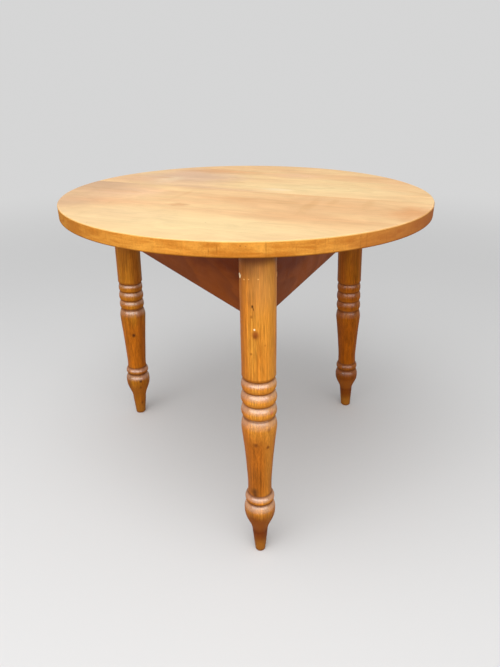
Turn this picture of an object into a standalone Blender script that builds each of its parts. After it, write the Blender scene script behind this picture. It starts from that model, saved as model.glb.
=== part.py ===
"""Cricket table: a round boarded top on three turned and slightly splayed legs.

Three apron boards are tenoned into the legs and pegged. Glue blocks and wood
screws hold the top down on the frame. Metres, +Z up. The origin is on the
floor under the middle of the top, and the front leg stands towards -Y.
"""

import math

import bmesh
import bpy
from mathutils import Matrix, Vector

# Fits
GAP = 0.0003
CUT_OVERRUN = 0.010

# Top
TABLE_HEIGHT = 0.750
TOP_DIAMETER = 0.869
TOP_THICKNESS = 0.030
TOP_ARRIS = 0.0026
BOARD_WIDTH = 0.217
MIDDLE_JOINT_OFFSET = 0.012
BOARD_TURN = math.radians(-21.4)
BOARD_NAMES = (
    "front_top_board",
    "middle_front_top_board",
    "middle_back_top_board",
    "back_top_board",
)
TOP_SIDES = 96
ARRIS_SEGMENTS = 2

# Legs: where each axis meets the underside of the top, and how much further out its foot stands
RIM_TO_FRONT_LEG = 0.0605
RIM_TO_RIGHT_LEG = 0.0785
RIM_TO_LEFT_LEG = 0.0525
FRONT_LEG_SPLAY = 0.022
RIGHT_LEG_SPLAY = 0.040
LEFT_LEG_SPLAY = 0.018
FRONT_TOP_AZIMUTH = math.radians(3.4)
FRONT_FOOT_AZIMUTH = math.radians(4.3)
RIGHT_TOP_AZIMUTH = math.radians(124.4)
RIGHT_FOOT_AZIMUTH = math.radians(123.2)
LEFT_TOP_AZIMUTH = math.radians(-117.2)
LEFT_FOOT_AZIMUTH = math.radians(-116.5)
FRONT_RINGS_TOP_HEIGHT = 0.459
RIGHT_RINGS_TOP_HEIGHT = 0.4435
LEFT_RINGS_TOP_HEIGHT = 0.457
LEFT_RINGS_TALL_SHARE = 0.9
FRONT_BULB_TOP_HEIGHT = 0.1495
RIGHT_BULB_TOP_HEIGHT = 0.144
LEFT_BULB_TOP_HEIGHT = 0.153

# Legs: the turning, from the floor up
FOOT_DIAMETER = 0.0226
ANKLE_DIAMETER = 0.0336
ANKLE_HEIGHT = 0.060
BULB_DIAMETER = 0.069
BULB_SHOULDER_TALL = 0.0275
BULB_GROOVE_DIAMETER = 0.056
SMALL_BEAD_DIAMETER = 0.0625
SMALL_BEAD_TALL = 0.0225
NECK_END_DIAMETER = 0.0548
NECK_DIAMETER = 0.052
NECK_HEIGHT = 0.193
VASE_DIAMETER = 0.0755
VASE_SHOULDER_TALL = 0.013
VASE_TAPER_SHARE = 1.45
RING_GROOVE_DIAMETER = 0.0625
LOWER_BEAD_DIAMETER = 0.0748
LOWER_BEAD_TALL = 0.030
MIDDLE_BEAD_DIAMETER = 0.0742
MIDDLE_BEAD_TALL = 0.0305
UPPER_BEAD_DIAMETER = 0.0722
UPPER_BEAD_TALL = 0.0265
SCRIBED_EDGE_TALL = 0.0055
SCRIBED_EDGE_SHARE = 0.35
LEG_DIAMETER = 0.070
LEG_SIDES = 24
BEAD_POINTS = 6
ROUND_POINTS = 4
VASE_POINTS = 8
BULB_POINTS = 7

# Aprons and their tenons
APRON_DEPTH = 0.137
APRON_THICKNESS = 0.022
APRON_ARRIS = 0.0015
APRON_ROOT_SHARE = 0.25
TENON_THICKNESS = 0.0095
TENON_TOP_HAUNCH = 0.015
TENON_LOW_SHOULDER = 0.015
TENON_MITRE_GAP = 0.002

# Pegs through the legs and tenons
PEG_DIAMETER = 0.010
PEG_INSET = 0.0105
PEG_DROP = 0.047
PEG_PROUD = 0.0004
PEG_END_DEPTH = 0.0006
PEG_SIDES = 16

# Glue blocks
BLOCK_LENGTH = 0.060
BLOCK_WIDTH = 0.026
BLOCK_HEIGHT = 0.030
BLOCK_ARRIS = 0.003
BLOCK_SPREAD = 0.170

# Wood screws
SCREW_LENGTH = 0.044
SCREW_DIAMETER = 0.0046
SCREW_HEAD_DIAMETER = 0.0086
SCREW_HEAD_TALL = 0.0030
SCREW_RIM_TALL = 0.0005
SCREW_POINT_LENGTH = 0.008
SCREW_POINT_DIAMETER = 0.0012
SCREW_SINK = 0.0010
SLOT_WIDTH = 0.0012
SLOT_DEPTH = 0.0013
SCREW_SIDES = 12

UNDERSIDE = TABLE_HEIGHT - TOP_THICKNESS
FRAME_TOP = UNDERSIDE - GAP
APRON_BOTTOM = UNDERSIDE - APRON_DEPTH
APRON_MIDDLE = (APRON_BOTTOM + FRAME_TOP) / 2
PEG_HEIGHT = UNDERSIDE - PEG_DROP
MERGE_DISTANCE = 0.0001
SMOOTH_ANGLE = math.radians(35)
UP = Vector((0, 0, 1))


def clear_scene():
    for obj in list(bpy.data.objects):
        bpy.data.objects.remove(obj)


def new_collection(name):
    collection = bpy.data.collections.new(name)
    bpy.context.scene.collection.children.link(collection)
    return collection


def new_material(name, colour, roughness, metallic=0.0):
    material = bpy.data.materials.new(name)
    material.use_nodes = True
    shader = material.node_tree.nodes["Principled BSDF"]
    shader.inputs["Base Color"].default_value = (*colour, 1)
    shader.inputs["Roughness"].default_value = roughness
    shader.inputs["Metallic"].default_value = metallic
    material.diffuse_color = (*colour, 1)
    return material


def add_object(name, mesh, matrix, collection, material=None):
    obj = bpy.data.objects.new(name, mesh)
    obj.matrix_world = matrix
    collection.objects.link(obj)
    if material:
        mesh.materials.append(material)
    else:
        obj.hide_render = True
        obj.display_type = "WIRE"
    return obj


def mesh_from(name, build):
    """A mesh that the given function fills in as a bmesh."""
    grown = bmesh.new()
    build(grown)
    mesh = bpy.data.meshes.new(name)
    grown.to_mesh(mesh)
    grown.free()
    return mesh


def box_mesh(name, low, high):
    """A box between two opposite corners."""
    low = Vector(low)
    high = Vector(high)

    def build(grown):
        place = Matrix.Translation((low + high) / 2) @ Matrix.Diagonal((*(high - low), 1))
        bmesh.ops.create_cube(grown, size=1, matrix=place)

    return mesh_from(name, build)


def cylinder_mesh(name, diameter, low, high, sides):
    """A cylinder about Z, from one height to another."""

    def build(grown):
        bmesh.ops.create_cone(
            grown,
            cap_ends=True,
            segments=sides,
            radius1=diameter / 2,
            radius2=diameter / 2,
            depth=high - low,
            matrix=Matrix.Translation((0, 0, (low + high) / 2)),
        )

    return mesh_from(name, build)


def mitred_bar_mesh(name, start, end, thickness, low, high):
    """A bar along X between two upright end planes.

    start and end are pairs: where the bar's middle ends, and how far that end
    moves on for each metre across the bar.
    """

    def build(grown):
        bmesh.ops.create_cube(grown, size=1)
        for corner in grown.verts:
            across = corner.co.y * thickness
            middle, slope = start if corner.co.x < 0 else end
            height = low if corner.co.z < 0 else high
            corner.co = (middle + slope * across, across, height)

    return mesh_from(name, build)


def mortise_mesh(name, leg, arms, width, reach, low, high):
    """The two mortises of a leg as one V, which meets in a mitre at the leg's axis.

    arms are the ways from the leg into its two aprons. The V's outer and inner
    corners lie on the line that halves the angle between them.
    """
    centre = leg.at_height(APRON_MIDDLE)
    bisector = (arms[0] + arms[1]).normalized()
    corner = bisector * (width / 2 / math.sin(arms[0].angle(bisector)))
    outline = [centre - corner, centre + corner]
    for arm in arms:
        inner_side = (bisector - arm * bisector.dot(arm)).normalized() * width / 2
        end = centre + arm * reach
        outline += [end - inner_side, end + inner_side]

    def build(grown):
        floor = [grown.verts.new((point.x, point.y, low)) for point in outline]
        roof = [grown.verts.new((point.x, point.y, high)) for point in outline]
        for level in (floor, roof):
            grown.faces.new([level[i] for i in (0, 2, 3, 1)])
            grown.faces.new([level[i] for i in (0, 1, 5, 4)])
        for i, j in ((0, 2), (2, 3), (3, 1), (1, 5), (5, 4), (4, 0)):
            grown.faces.new((floor[i], floor[j], roof[j], roof[i]))
        bmesh.ops.recalc_face_normals(grown, faces=grown.faces)

    return mesh_from(name, build)


def turned_object(name, profile, sides, matrix, collection, material=None):
    """A profile of radius and height pairs, from top to bottom, turned about Z."""
    mesh = bpy.data.meshes.new(name)
    points = [(radius, 0, height) for radius, height in profile]
    mesh.from_pydata(points, [(i, i + 1) for i in range(len(points) - 1)], [])
    obj = add_object(name, mesh, matrix, collection, material)
    turn = obj.modifiers.new("Turned", "SCREW")
    turn.steps = sides
    turn.render_steps = sides
    turn.use_merge_vertices = True
    turn.merge_threshold = MERGE_DISTANCE
    turn.use_smooth_shade = True
    return obj


def add_boolean(obj, cutter, operation):
    boolean = obj.modifiers.new(f"{operation.title()} {cutter.name}", "BOOLEAN")
    boolean.operation = operation
    boolean.object = cutter
    boolean.solver = "EXACT"


def add_bevel(obj, width, segments):
    bevel = obj.modifiers.new("Arris", "BEVEL")
    bevel.width = width
    bevel.segments = segments
    bevel.limit_method = "ANGLE"


def shade_round(mesh):
    mesh.shade_smooth()
    mesh.set_sharp_from_angle(angle=SMOOTH_ANGLE)


def reach_point(reach, azimuth, height):
    """A point at a distance from the table's middle, at an angle from -Y towards +X."""
    return Vector((reach * math.sin(azimuth), -reach * math.cos(azimuth), height))


class Leg:
    """Where a leg's axis runs, from its foot on the floor to the underside of the top.

    The legs are turned by hand, so each has heights of its own for its beads and its bulb.
    """

    def __init__(self, name, top, foot, rings_top, rings_share, bulb_top):
        self.name = name
        self.foot = foot
        self.axis = (top - foot).normalized()
        self.length = (top - foot).length
        self.rings_top = rings_top
        self.rings_share = rings_share
        self.bulb_top = bulb_top

    def at_height(self, height):
        return self.foot + self.axis * (height / self.axis.z)

    def matrix(self):
        return Matrix.Translation(self.foot) @ self.axis.to_track_quat("Z", "Y").to_matrix().to_4x4()


class Apron:
    """An apron's own frame: X along it from leg axis to leg axis, Y inwards, Z up from the floor."""

    def __init__(self, name, first, second):
        self.name = name
        self.legs = (first, second)
        self.start = first.at_height(APRON_MIDDLE)
        self.end = second.at_height(APRON_MIDDLE)
        self.start.z = 0
        self.end.z = 0
        self.length = (self.end - self.start).length
        self.along = (self.end - self.start).normalized()
        self.inwards = UP.cross(self.along)

    def way_from(self, leg):
        """The level direction from one of its legs into the apron."""
        return self.along if leg is self.legs[0] else -self.along

    def matrix(self):
        turned = Matrix((self.along, self.inwards, UP)).transposed().to_4x4()
        return Matrix.Translation(self.start) @ turned


def mitre_slope(apron, other, leg):
    """How far the mitre plane at a leg moves along the first apron, for each metre across it."""
    bisector = (apron.way_from(leg) + other.way_from(leg)).normalized()
    return bisector.dot(apron.along) / bisector.dot(apron.inwards)


def half_round(top, low, crown, count):
    """A bead: half an ellipse from the top point to the low point, out to the crown radius.

    The first point is left out, because the profile already has it.
    """
    points = []
    for step in range(1, count + 1):
        turn = math.pi * step / count
        share = (1 - math.cos(turn)) / 2
        base = top[0] + (low[0] - top[0]) * share
        height = top[1] + (low[1] - top[1]) * share
        points.append((base + (crown - base) * math.sin(turn), height))
    return points


def quarter_round(top, crown, count):
    """A shoulder: a quarter of an ellipse from the groove out and down to the crown.

    The first point is left out, because the profile already has it.
    """
    points = []
    for step in range(1, count + 1):
        turn = math.pi / 2 * step / count
        radius = top[0] + (crown[0] - top[0]) * math.sin(turn)
        height = crown[1] + (top[1] - crown[1]) * math.cos(turn)
        points.append((radius, height))
    return points


def vase_taper(crown, neck, count):
    """The vase below its shoulder: the radius falls with a power of the distance left to the neck."""
    points = []
    for step in range(1, count + 1):
        share = step / count
        radius = neck[0] + (crown[0] - neck[0]) * (1 - share) ** VASE_TAPER_SHARE
        points.append((radius, crown[1] + (neck[1] - crown[1]) * share))
    return points


def cyma(top, low, count):
    """An S curve: the radius eases from one value to the other along half a cosine wave."""
    points = []
    for step in range(1, count + 1):
        share = step / count
        eased = (1 - math.cos(math.pi * share)) / 2
        points.append((top[0] + (low[0] - top[0]) * eased, top[1] + (low[1] - top[1]) * share))
    return points


def leg_profile(leg):
    """Radius and height along the leg, from above its top end to below its foot."""
    shaft = LEG_DIAMETER / 2
    groove = RING_GROOVE_DIAMETER / 2
    edge_top = leg.rings_top + SCRIBED_EDGE_TALL
    edge_round = leg.rings_top + SCRIBED_EDGE_TALL * SCRIBED_EDGE_SHARE
    edge_radius = shaft - (shaft - groove) * SCRIBED_EDGE_SHARE
    points = [(0, leg.length + CUT_OVERRUN), (shaft, leg.length + CUT_OVERRUN)]
    points += [(shaft, edge_top), (edge_radius, edge_round), (groove, leg.rings_top)]
    beads = (
        (UPPER_BEAD_DIAMETER, UPPER_BEAD_TALL),
        (MIDDLE_BEAD_DIAMETER, MIDDLE_BEAD_TALL),
        (LOWER_BEAD_DIAMETER, LOWER_BEAD_TALL),
    )
    for diameter, tall in beads:
        top = points[-1]
        low = (groove, top[1] - tall * leg.rings_share)
        points += half_round(top, low, diameter / 2, BEAD_POINTS)
    rings_low = points[-1]
    shoulder = (VASE_DIAMETER / 2, rings_low[1] - VASE_SHOULDER_TALL)
    points += quarter_round(rings_low, shoulder, ROUND_POINTS)
    points += vase_taper(shoulder, (NECK_DIAMETER / 2, NECK_HEIGHT), VASE_POINTS)
    bulb_groove = (BULB_GROOVE_DIAMETER / 2, leg.bulb_top)
    neck_end = (NECK_END_DIAMETER / 2, leg.bulb_top + SMALL_BEAD_TALL)
    points += [neck_end]
    points += half_round(neck_end, bulb_groove, SMALL_BEAD_DIAMETER / 2, BEAD_POINTS)
    bulb_crown = (BULB_DIAMETER / 2, leg.bulb_top - BULB_SHOULDER_TALL)
    points += quarter_round(bulb_groove, bulb_crown, ROUND_POINTS)
    points += cyma(bulb_crown, (ANKLE_DIAMETER / 2, ANKLE_HEIGHT), BULB_POINTS)
    points += [(FOOT_DIAMETER / 2, 0), (FOOT_DIAMETER / 2, -CUT_OVERRUN), (0, -CUT_OVERRUN)]
    return points


def screw_profile(extra, head_overrun):
    """Radius and height of a screw that points up from its head at height zero, grown by a clearance."""
    head = SCREW_HEAD_DIAMETER / 2 + extra
    shank = SCREW_DIAMETER / 2 + extra
    point = SCREW_POINT_DIAMETER / 2 + extra
    shank_end = SCREW_LENGTH - SCREW_POINT_LENGTH
    top = SCREW_LENGTH + extra
    return [
        (0, top),
        (point, top),
        (shank, shank_end),
        (shank, SCREW_HEAD_TALL + extra),
        (head, SCREW_RIM_TALL + extra),
        (head, -head_overrun),
        (0, -head_overrun),
    ]


def make_cutters(legs, aprons, cutters):
    """The shapes that only cut or join others, by name."""
    made = {}
    wide = TOP_DIAMETER + CUT_OVERRUN

    def keep(name, mesh, matrix=None):
        made[name] = add_object(name, mesh, matrix or Matrix.Identity(4), cutters)

    keep("level_trim", box_mesh("level_trim", (-wide, -wide, 0), (wide, wide, FRAME_TOP)))
    for leg in legs.values():
        name = f"{leg.name}_cope"
        cope = cylinder_mesh(name, LEG_DIAMETER + 2 * GAP, 0, leg.length + CUT_OVERRUN, LEG_SIDES)
        keep(name, cope, leg.matrix())
        name = f"{leg.name}_peg_trim"
        trim_diameter = LEG_DIAMETER + 2 * PEG_PROUD
        trim = cylinder_mesh(name, trim_diameter, 0, leg.length + CUT_OVERRUN, LEG_SIDES * 2)
        keep(name, trim, leg.matrix())
    tenon_low = APRON_BOTTOM + TENON_LOW_SHOULDER
    tenon_high = UNDERSIDE - TENON_TOP_HAUNCH
    reach = LEG_DIAMETER / 2 + CUT_OVERRUN
    for leg in legs.values():
        name = f"{leg.name}_mortises"
        arms = [apron.way_from(leg) for apron in aprons if leg in apron.legs]
        width = TENON_THICKNESS + 2 * GAP
        keep(name, mortise_mesh(name, leg, arms, width, reach, tenon_low - GAP, tenon_high + GAP))
    for apron in aprons:
        slopes = end_slopes(apron, aprons)
        name = f"{apron.name}_tenons"
        start = (TENON_MITRE_GAP, slopes[0])
        end = (apron.length - TENON_MITRE_GAP, slopes[1])
        bar = mitred_bar_mesh(name, start, end, TENON_THICKNESS, tenon_low, tenon_high)
        keep(name, bar, apron.matrix())
        for leg, at, way in end_places(apron):
            name = f"{apron.name}_{leg.name}_peg_hole"
            hole = cylinder_mesh(name, PEG_DIAMETER + 2 * GAP, -GAP, reach, PEG_SIDES)
            keep(name, hole, peg_matrix(apron, at + way * PEG_INSET))
    return made


def end_slopes(apron, aprons):
    """The mitre slopes at the apron's two ends, against the apron that shares each leg."""
    first, second = apron.legs
    before = next(other for other in aprons if other.legs[1] is first)
    after = next(other for other in aprons if other.legs[0] is second)
    return mitre_slope(apron, before, first), mitre_slope(apron, after, second)


def end_places(apron):
    """For each end: its leg, its place along the apron and the sign of the way into the apron."""
    return (apron.legs[0], 0, 1), (apron.legs[1], apron.length, -1)


def peg_matrix(apron, along):
    """A frame whose Z runs outwards across the apron, from the peg's inner end."""
    turned = Matrix((apron.along, UP, -apron.inwards)).transposed().to_4x4()
    middle = apron.start + apron.along * along + UP * PEG_HEIGHT
    return Matrix.Translation(middle + apron.inwards * PEG_END_DEPTH) @ turned


def make_top(screws, cutters, collection, material):
    """Edge-jointed boards: one disc each, cut to its strip, with the screws' pilot holes."""
    radius = TOP_DIAMETER / 2
    far = radius + CUT_OVERRUN
    joints = [MIDDLE_JOINT_OFFSET + BOARD_WIDTH * step for step in (-1, 0, 1)]
    edges = [-far, *joints, far]
    turn = Matrix.Rotation(BOARD_TURN, 4, "Z")
    for name, low, high in zip(BOARD_NAMES, edges, edges[1:]):
        disc = cylinder_mesh(name, TOP_DIAMETER, UNDERSIDE, TABLE_HEIGHT, TOP_SIDES)
        shade_round(disc)
        board = add_object(name, disc, Matrix.Identity(4), collection, material)
        add_bevel(board, TOP_ARRIS, ARRIS_SEGMENTS)
        strip_name = f"{name}_strip"
        strip_low = (-far, low + GAP / 2, UNDERSIDE - CUT_OVERRUN)
        strip_high = (far, high - GAP / 2, TABLE_HEIGHT + CUT_OVERRUN)
        strip = add_object(strip_name, box_mesh(strip_name, strip_low, strip_high), turn, cutters)
        add_boolean(board, strip, "INTERSECT")
        for hole in screws:
            across = (turn.inverted() @ hole.matrix_world.translation).y
            if low - SCREW_DIAMETER < across < high + SCREW_DIAMETER:
                add_boolean(board, hole, "DIFFERENCE")


def make_leg(leg, aprons, made, collection, material):
    """A turned leg, trimmed level at both ends, with its mortises and peg holes."""
    name = f"{leg.name}_leg"
    obj = turned_object(name, leg_profile(leg), LEG_SIDES, leg.matrix(), collection, material)
    add_boolean(obj, made["level_trim"], "INTERSECT")
    add_boolean(obj, made[f"{leg.name}_mortises"], "DIFFERENCE")
    for apron in aprons:
        if leg in apron.legs:
            add_boolean(obj, made[f"{apron.name}_{leg.name}_peg_hole"], "DIFFERENCE")


def make_apron(apron, made, collection, material):
    """A board coped to the round legs, with a tenon bar through it and a peg hole in each tenon."""
    name = f"{apron.name}_apron"
    side = APRON_THICKNESS / 2
    end_inset = LEG_DIAMETER * APRON_ROOT_SHARE
    low = (end_inset, -side, APRON_BOTTOM)
    high = (apron.length - end_inset, side, FRAME_TOP)
    obj = add_object(name, box_mesh(name, low, high), apron.matrix(), collection, material)
    add_bevel(obj, APRON_ARRIS, 1)
    for leg in apron.legs:
        add_boolean(obj, made[f"{leg.name}_cope"], "DIFFERENCE")
    add_boolean(obj, made[f"{apron.name}_tenons"], "UNION")
    for leg in apron.legs:
        add_boolean(obj, made[f"{apron.name}_{leg.name}_peg_hole"], "DIFFERENCE")


def make_pegs(apron, made, collection, material):
    for leg, at, way in end_places(apron):
        name = f"{apron.name}_apron_{leg.name}_peg"
        peg = cylinder_mesh(name, PEG_DIAMETER, 0, LEG_DIAMETER / 2 + CUT_OVERRUN, PEG_SIDES)
        shade_round(peg)
        obj = add_object(name, peg, peg_matrix(apron, at + way * PEG_INSET), collection, material)
        add_boolean(obj, made[f"{leg.name}_peg_trim"], "INTERSECT")


def make_blocks(apron, cutters, collection, materials):
    """Two glue blocks in the angle between the apron and the top, each with its screw.

    Returns the shapes that cut the screws' holes.
    """
    holes = []
    back = APRON_THICKNESS / 2 + GAP
    block_low = FRAME_TOP - BLOCK_HEIGHT
    for end, way in (("first", -1), ("second", 1)):
        middle = apron.length / 2 + way * BLOCK_SPREAD
        name = f"{apron.name}_{end}_glue_block"
        low = (middle - BLOCK_LENGTH / 2, back, block_low)
        high = (middle + BLOCK_LENGTH / 2, back + BLOCK_WIDTH, FRAME_TOP)
        block = add_object(name, box_mesh(name, low, high), apron.matrix(), collection, materials[0])
        add_bevel(block, BLOCK_ARRIS, 1)
        seat = Matrix.Translation((middle, back + BLOCK_WIDTH / 2, block_low + SCREW_SINK))
        place = apron.matrix() @ seat
        hole_name = f"{name}_screw_hole"
        hole = turned_object(hole_name, screw_profile(GAP, CUT_OVERRUN), SCREW_SIDES, place, cutters)
        add_boolean(block, hole, "DIFFERENCE")
        screw_name = f"{apron.name}_{end}_wood_screw"
        profile = screw_profile(0, 0)
        screw = turned_object(screw_name, profile, SCREW_SIDES, place, collection, materials[1])
        slot_name = f"{screw_name}_slot"
        slot_low = (-SCREW_HEAD_DIAMETER, -SLOT_WIDTH / 2, -CUT_OVERRUN)
        slot_high = (SCREW_HEAD_DIAMETER, SLOT_WIDTH / 2, SLOT_DEPTH)
        slot = add_object(slot_name, box_mesh(slot_name, slot_low, slot_high), place, cutters)
        add_boolean(screw, slot, "DIFFERENCE")
        holes.append(hole)
    return holes


def place_legs():
    """The legs by name, each from its inset at the rim, its azimuths and its splay."""
    rows = (
        ("front", RIM_TO_FRONT_LEG, FRONT_TOP_AZIMUTH, FRONT_LEG_SPLAY, FRONT_FOOT_AZIMUTH),
        ("right", RIM_TO_RIGHT_LEG, RIGHT_TOP_AZIMUTH, RIGHT_LEG_SPLAY, RIGHT_FOOT_AZIMUTH),
        ("left", RIM_TO_LEFT_LEG, LEFT_TOP_AZIMUTH, LEFT_LEG_SPLAY, LEFT_FOOT_AZIMUTH),
    )
    turning = {
        "front": (FRONT_RINGS_TOP_HEIGHT, 1, FRONT_BULB_TOP_HEIGHT),
        "right": (RIGHT_RINGS_TOP_HEIGHT, 1, RIGHT_BULB_TOP_HEIGHT),
        "left": (LEFT_RINGS_TOP_HEIGHT, LEFT_RINGS_TALL_SHARE, LEFT_BULB_TOP_HEIGHT),
    }
    legs = {}
    for name, rim_inset, top_azimuth, splay, foot_azimuth in rows:
        reach = TOP_DIAMETER / 2 - rim_inset
        top = reach_point(reach, top_azimuth, UNDERSIDE)
        foot = reach_point(reach + splay, foot_azimuth, 0)
        legs[name] = Leg(name, top, foot, *turning[name])
    return legs


def main():
    clear_scene()
    table = new_collection("cricket_table")
    cutters = new_collection("cutters")
    pine = new_material("honey_pine_top", (0.85, 0.58, 0.31), 0.38)
    leg_pine = new_material("varnished_pine_leg", (0.62, 0.29, 0.06), 0.28)
    apron_pine = new_material("dark_stained_apron", (0.20, 0.06, 0.02), 0.35)
    peg_wood = new_material("pale_peg", (0.70, 0.52, 0.33), 0.6)
    block_pine = new_material("bare_pine_block", (0.55, 0.38, 0.22), 0.7)
    steel = new_material("dull_steel_screw", (0.35, 0.33, 0.30), 0.45, 0.9)

    legs = place_legs()
    aprons = [
        Apron("right", legs["front"], legs["right"]),
        Apron("back", legs["right"], legs["left"]),
        Apron("left", legs["left"], legs["front"]),
    ]
    made = make_cutters(legs, aprons, cutters)
    screw_holes = []
    for apron in aprons:
        make_apron(apron, made, table, apron_pine)
        make_pegs(apron, made, table, peg_wood)
        screw_holes += make_blocks(apron, cutters, table, (block_pine, steel))
    for leg in legs.values():
        make_leg(leg, aprons, made, table, leg_pine)
    bpy.context.view_layer.update()
    make_top(screw_holes, cutters, table, pine)


main()
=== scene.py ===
"""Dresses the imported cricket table: fine turned legs, eased boards and the finishes of old pine.

Metres, +Z up, origin on the floor under the middle of the top. The front leg
stands towards -Y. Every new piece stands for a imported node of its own.
"""

import math

import bpy
import numpy as np
from mathutils import Matrix, Vector

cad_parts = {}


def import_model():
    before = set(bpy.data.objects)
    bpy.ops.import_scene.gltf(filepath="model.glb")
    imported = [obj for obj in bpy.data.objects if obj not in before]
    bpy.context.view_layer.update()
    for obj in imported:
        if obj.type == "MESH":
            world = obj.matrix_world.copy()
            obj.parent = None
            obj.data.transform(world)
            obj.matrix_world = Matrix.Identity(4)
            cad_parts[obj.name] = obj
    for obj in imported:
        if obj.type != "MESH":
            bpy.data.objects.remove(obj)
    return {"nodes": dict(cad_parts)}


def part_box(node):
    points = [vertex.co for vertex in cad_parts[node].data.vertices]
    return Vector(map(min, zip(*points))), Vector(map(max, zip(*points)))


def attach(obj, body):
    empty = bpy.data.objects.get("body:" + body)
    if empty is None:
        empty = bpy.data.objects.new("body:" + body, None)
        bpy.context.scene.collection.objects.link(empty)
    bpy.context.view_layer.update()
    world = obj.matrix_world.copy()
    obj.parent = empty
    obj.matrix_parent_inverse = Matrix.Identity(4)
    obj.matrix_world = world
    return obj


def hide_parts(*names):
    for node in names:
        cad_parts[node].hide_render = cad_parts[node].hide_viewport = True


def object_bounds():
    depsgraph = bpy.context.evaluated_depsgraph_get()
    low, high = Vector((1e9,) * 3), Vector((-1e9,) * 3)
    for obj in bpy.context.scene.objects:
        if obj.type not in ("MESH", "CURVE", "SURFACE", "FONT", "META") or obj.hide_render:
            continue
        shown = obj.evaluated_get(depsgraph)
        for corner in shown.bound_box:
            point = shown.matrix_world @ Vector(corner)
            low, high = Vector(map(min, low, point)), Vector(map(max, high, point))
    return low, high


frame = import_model()
CAD_LOW, CAD_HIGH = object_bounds()

bl_info = {
    "name": "Cricket Table",
    "version": (1, 0, 0),
    "blender": (4, 5, 0),
    "location": "3D View > Sidebar > Cricket Table",
    "description": "Builds the boards, turned legs, frame and finishes of a round pine table",
    "category": "Object",
}

BOARD_LOW, BOARD_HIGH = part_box("middle_front_top_board")
LEG_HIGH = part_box("front_leg")[1]
APRON_LOW, APRON_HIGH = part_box("back_apron")
JOINT_GAP = 0.0003
UP = Vector((0, 0, 1))

# Each leg: where its axis meets the underside of the top and the floor, as a reach from the
# table's middle and an azimuth from -Y towards +X
LEG_PLACES = {
    "front": ((0.374, 3.4), (0.396, 4.3)),
    "right": ((0.356, 124.4), (0.396, 123.2)),
    "left": ((0.382, -117.2), (0.4, -116.5)),
}
APRON_LEGS = {"right": ("front", "right"), "back": ("right", "left"), "left": ("left", "front")}


def length_of(name, description, value):
    """A length, shown in the scene's own units."""
    return bpy.props.FloatProperty(name=name, description=description, default=value, unit="LENGTH")


def number_of(name, description, value, subtype="NONE"):
    """A plain number or an angle."""
    return bpy.props.FloatProperty(name=name, description=description, default=value, subtype=subtype)


def colour_of(name, description, value):
    """A colour with a red, a green and a blue share."""
    return bpy.props.FloatVectorProperty(name=name, description=description, default=value, subtype="COLOR")


class TopSettings(bpy.types.PropertyGroup):
    """Sizes and colours of the boarded top."""

    diameter: length_of("Diameter", "Across the round top", CAD_HIGH.x - CAD_LOW.x)
    thickness: length_of("Thickness", "From the top face to the underside", BOARD_HIGH.z - BOARD_LOW.z)
    arris: length_of("Arris", "Radius of the eased edge round the rim", 0.0026)
    joint_arris: length_of("Joint arris", "Radius of the worn edge along each joint between boards", 0.00025)
    board_width: length_of("Board width", "Width of the two middle boards", 0.217)
    middle_joint: length_of("Middle joint", "How far the middle joint lies behind the table's centre", 0.012)
    board_turn: number_of("Board turn", "Angle of the boards to the X axis", math.radians(-21.4), "ANGLE")
    cup: length_of("Cup", "How far each board's edges have sunk below its middle", 0.00018)
    pale: colour_of("Pale pine", "The lightest wood of the top", (0.935, 0.668, 0.352))
    honey: colour_of("Honey pine", "The deeper wood of the top", (0.845, 0.494, 0.262))
    rim: colour_of("Rim", "The orange of the cut edge", (0.42, 0.142, 0.016))


class LegSettings(bpy.types.PropertyGroup):
    """Sizes and colours of the turned legs."""

    shaft: length_of("Shaft", "Diameter of the plain upper part", 0.07)
    groove: length_of("Groove", "Diameter at the bottom of the grooves between the beads", 0.0625)
    vase: length_of("Vase", "Diameter of the shoulder below the beads", 0.0755)
    neck: length_of("Neck", "Diameter of the thinnest part above the small bead", 0.052)
    bulb: length_of("Bulb", "Diameter of the bulb above the foot", 0.069)
    foot: length_of("Foot", "Diameter where the leg meets the floor", 0.0226)
    gold: colour_of("Gold", "The lightest varnished wood of the legs", (0.545, 0.225, 0.027))
    amber: colour_of("Amber", "The deeper varnished wood of the legs", (0.42, 0.116, 0.008))


class FrameSettings(bpy.types.PropertyGroup):
    """Sizes and colours of the aprons and what holds them."""

    thickness: length_of("Apron thickness", "Thickness of each apron board", 0.022)
    arris: length_of("Apron arris", "Radius of the worn edges along an apron", 0.0015)
    tenon: length_of("Tenon", "Thickness of the tenons", 0.0095)
    stain: colour_of("Stain", "The dark stained wood of the aprons", (0.108, 0.0185, 0.0016))
    peg_diameter: length_of("Peg", "Diameter of the pegs through the tenons", 0.01)


class StageSettings(bpy.types.PropertyGroup):
    """The floor, the light and the camera."""

    floor: colour_of("Floor", "Colour of the floor", (0.72, 0.72, 0.72))
    background: number_of("Background", "How bright the camera sees the background, where 1 is white", 0.67)
    haze: number_of("Haze", "Strength of the even light from all round", 0.3)
    sky: number_of("Sky", "Strength of the brightest part of the sky, above and in front", 1.0)
    softbox: number_of("Softbox", "Power of the wide soft panel low in front, in watts", 118.0)
    lamp: number_of("Lamp", "Power of the soft lamp overhead, in watts", 37.0)


# Nodes and finishes

SPOT_CORE = 0.1


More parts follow.
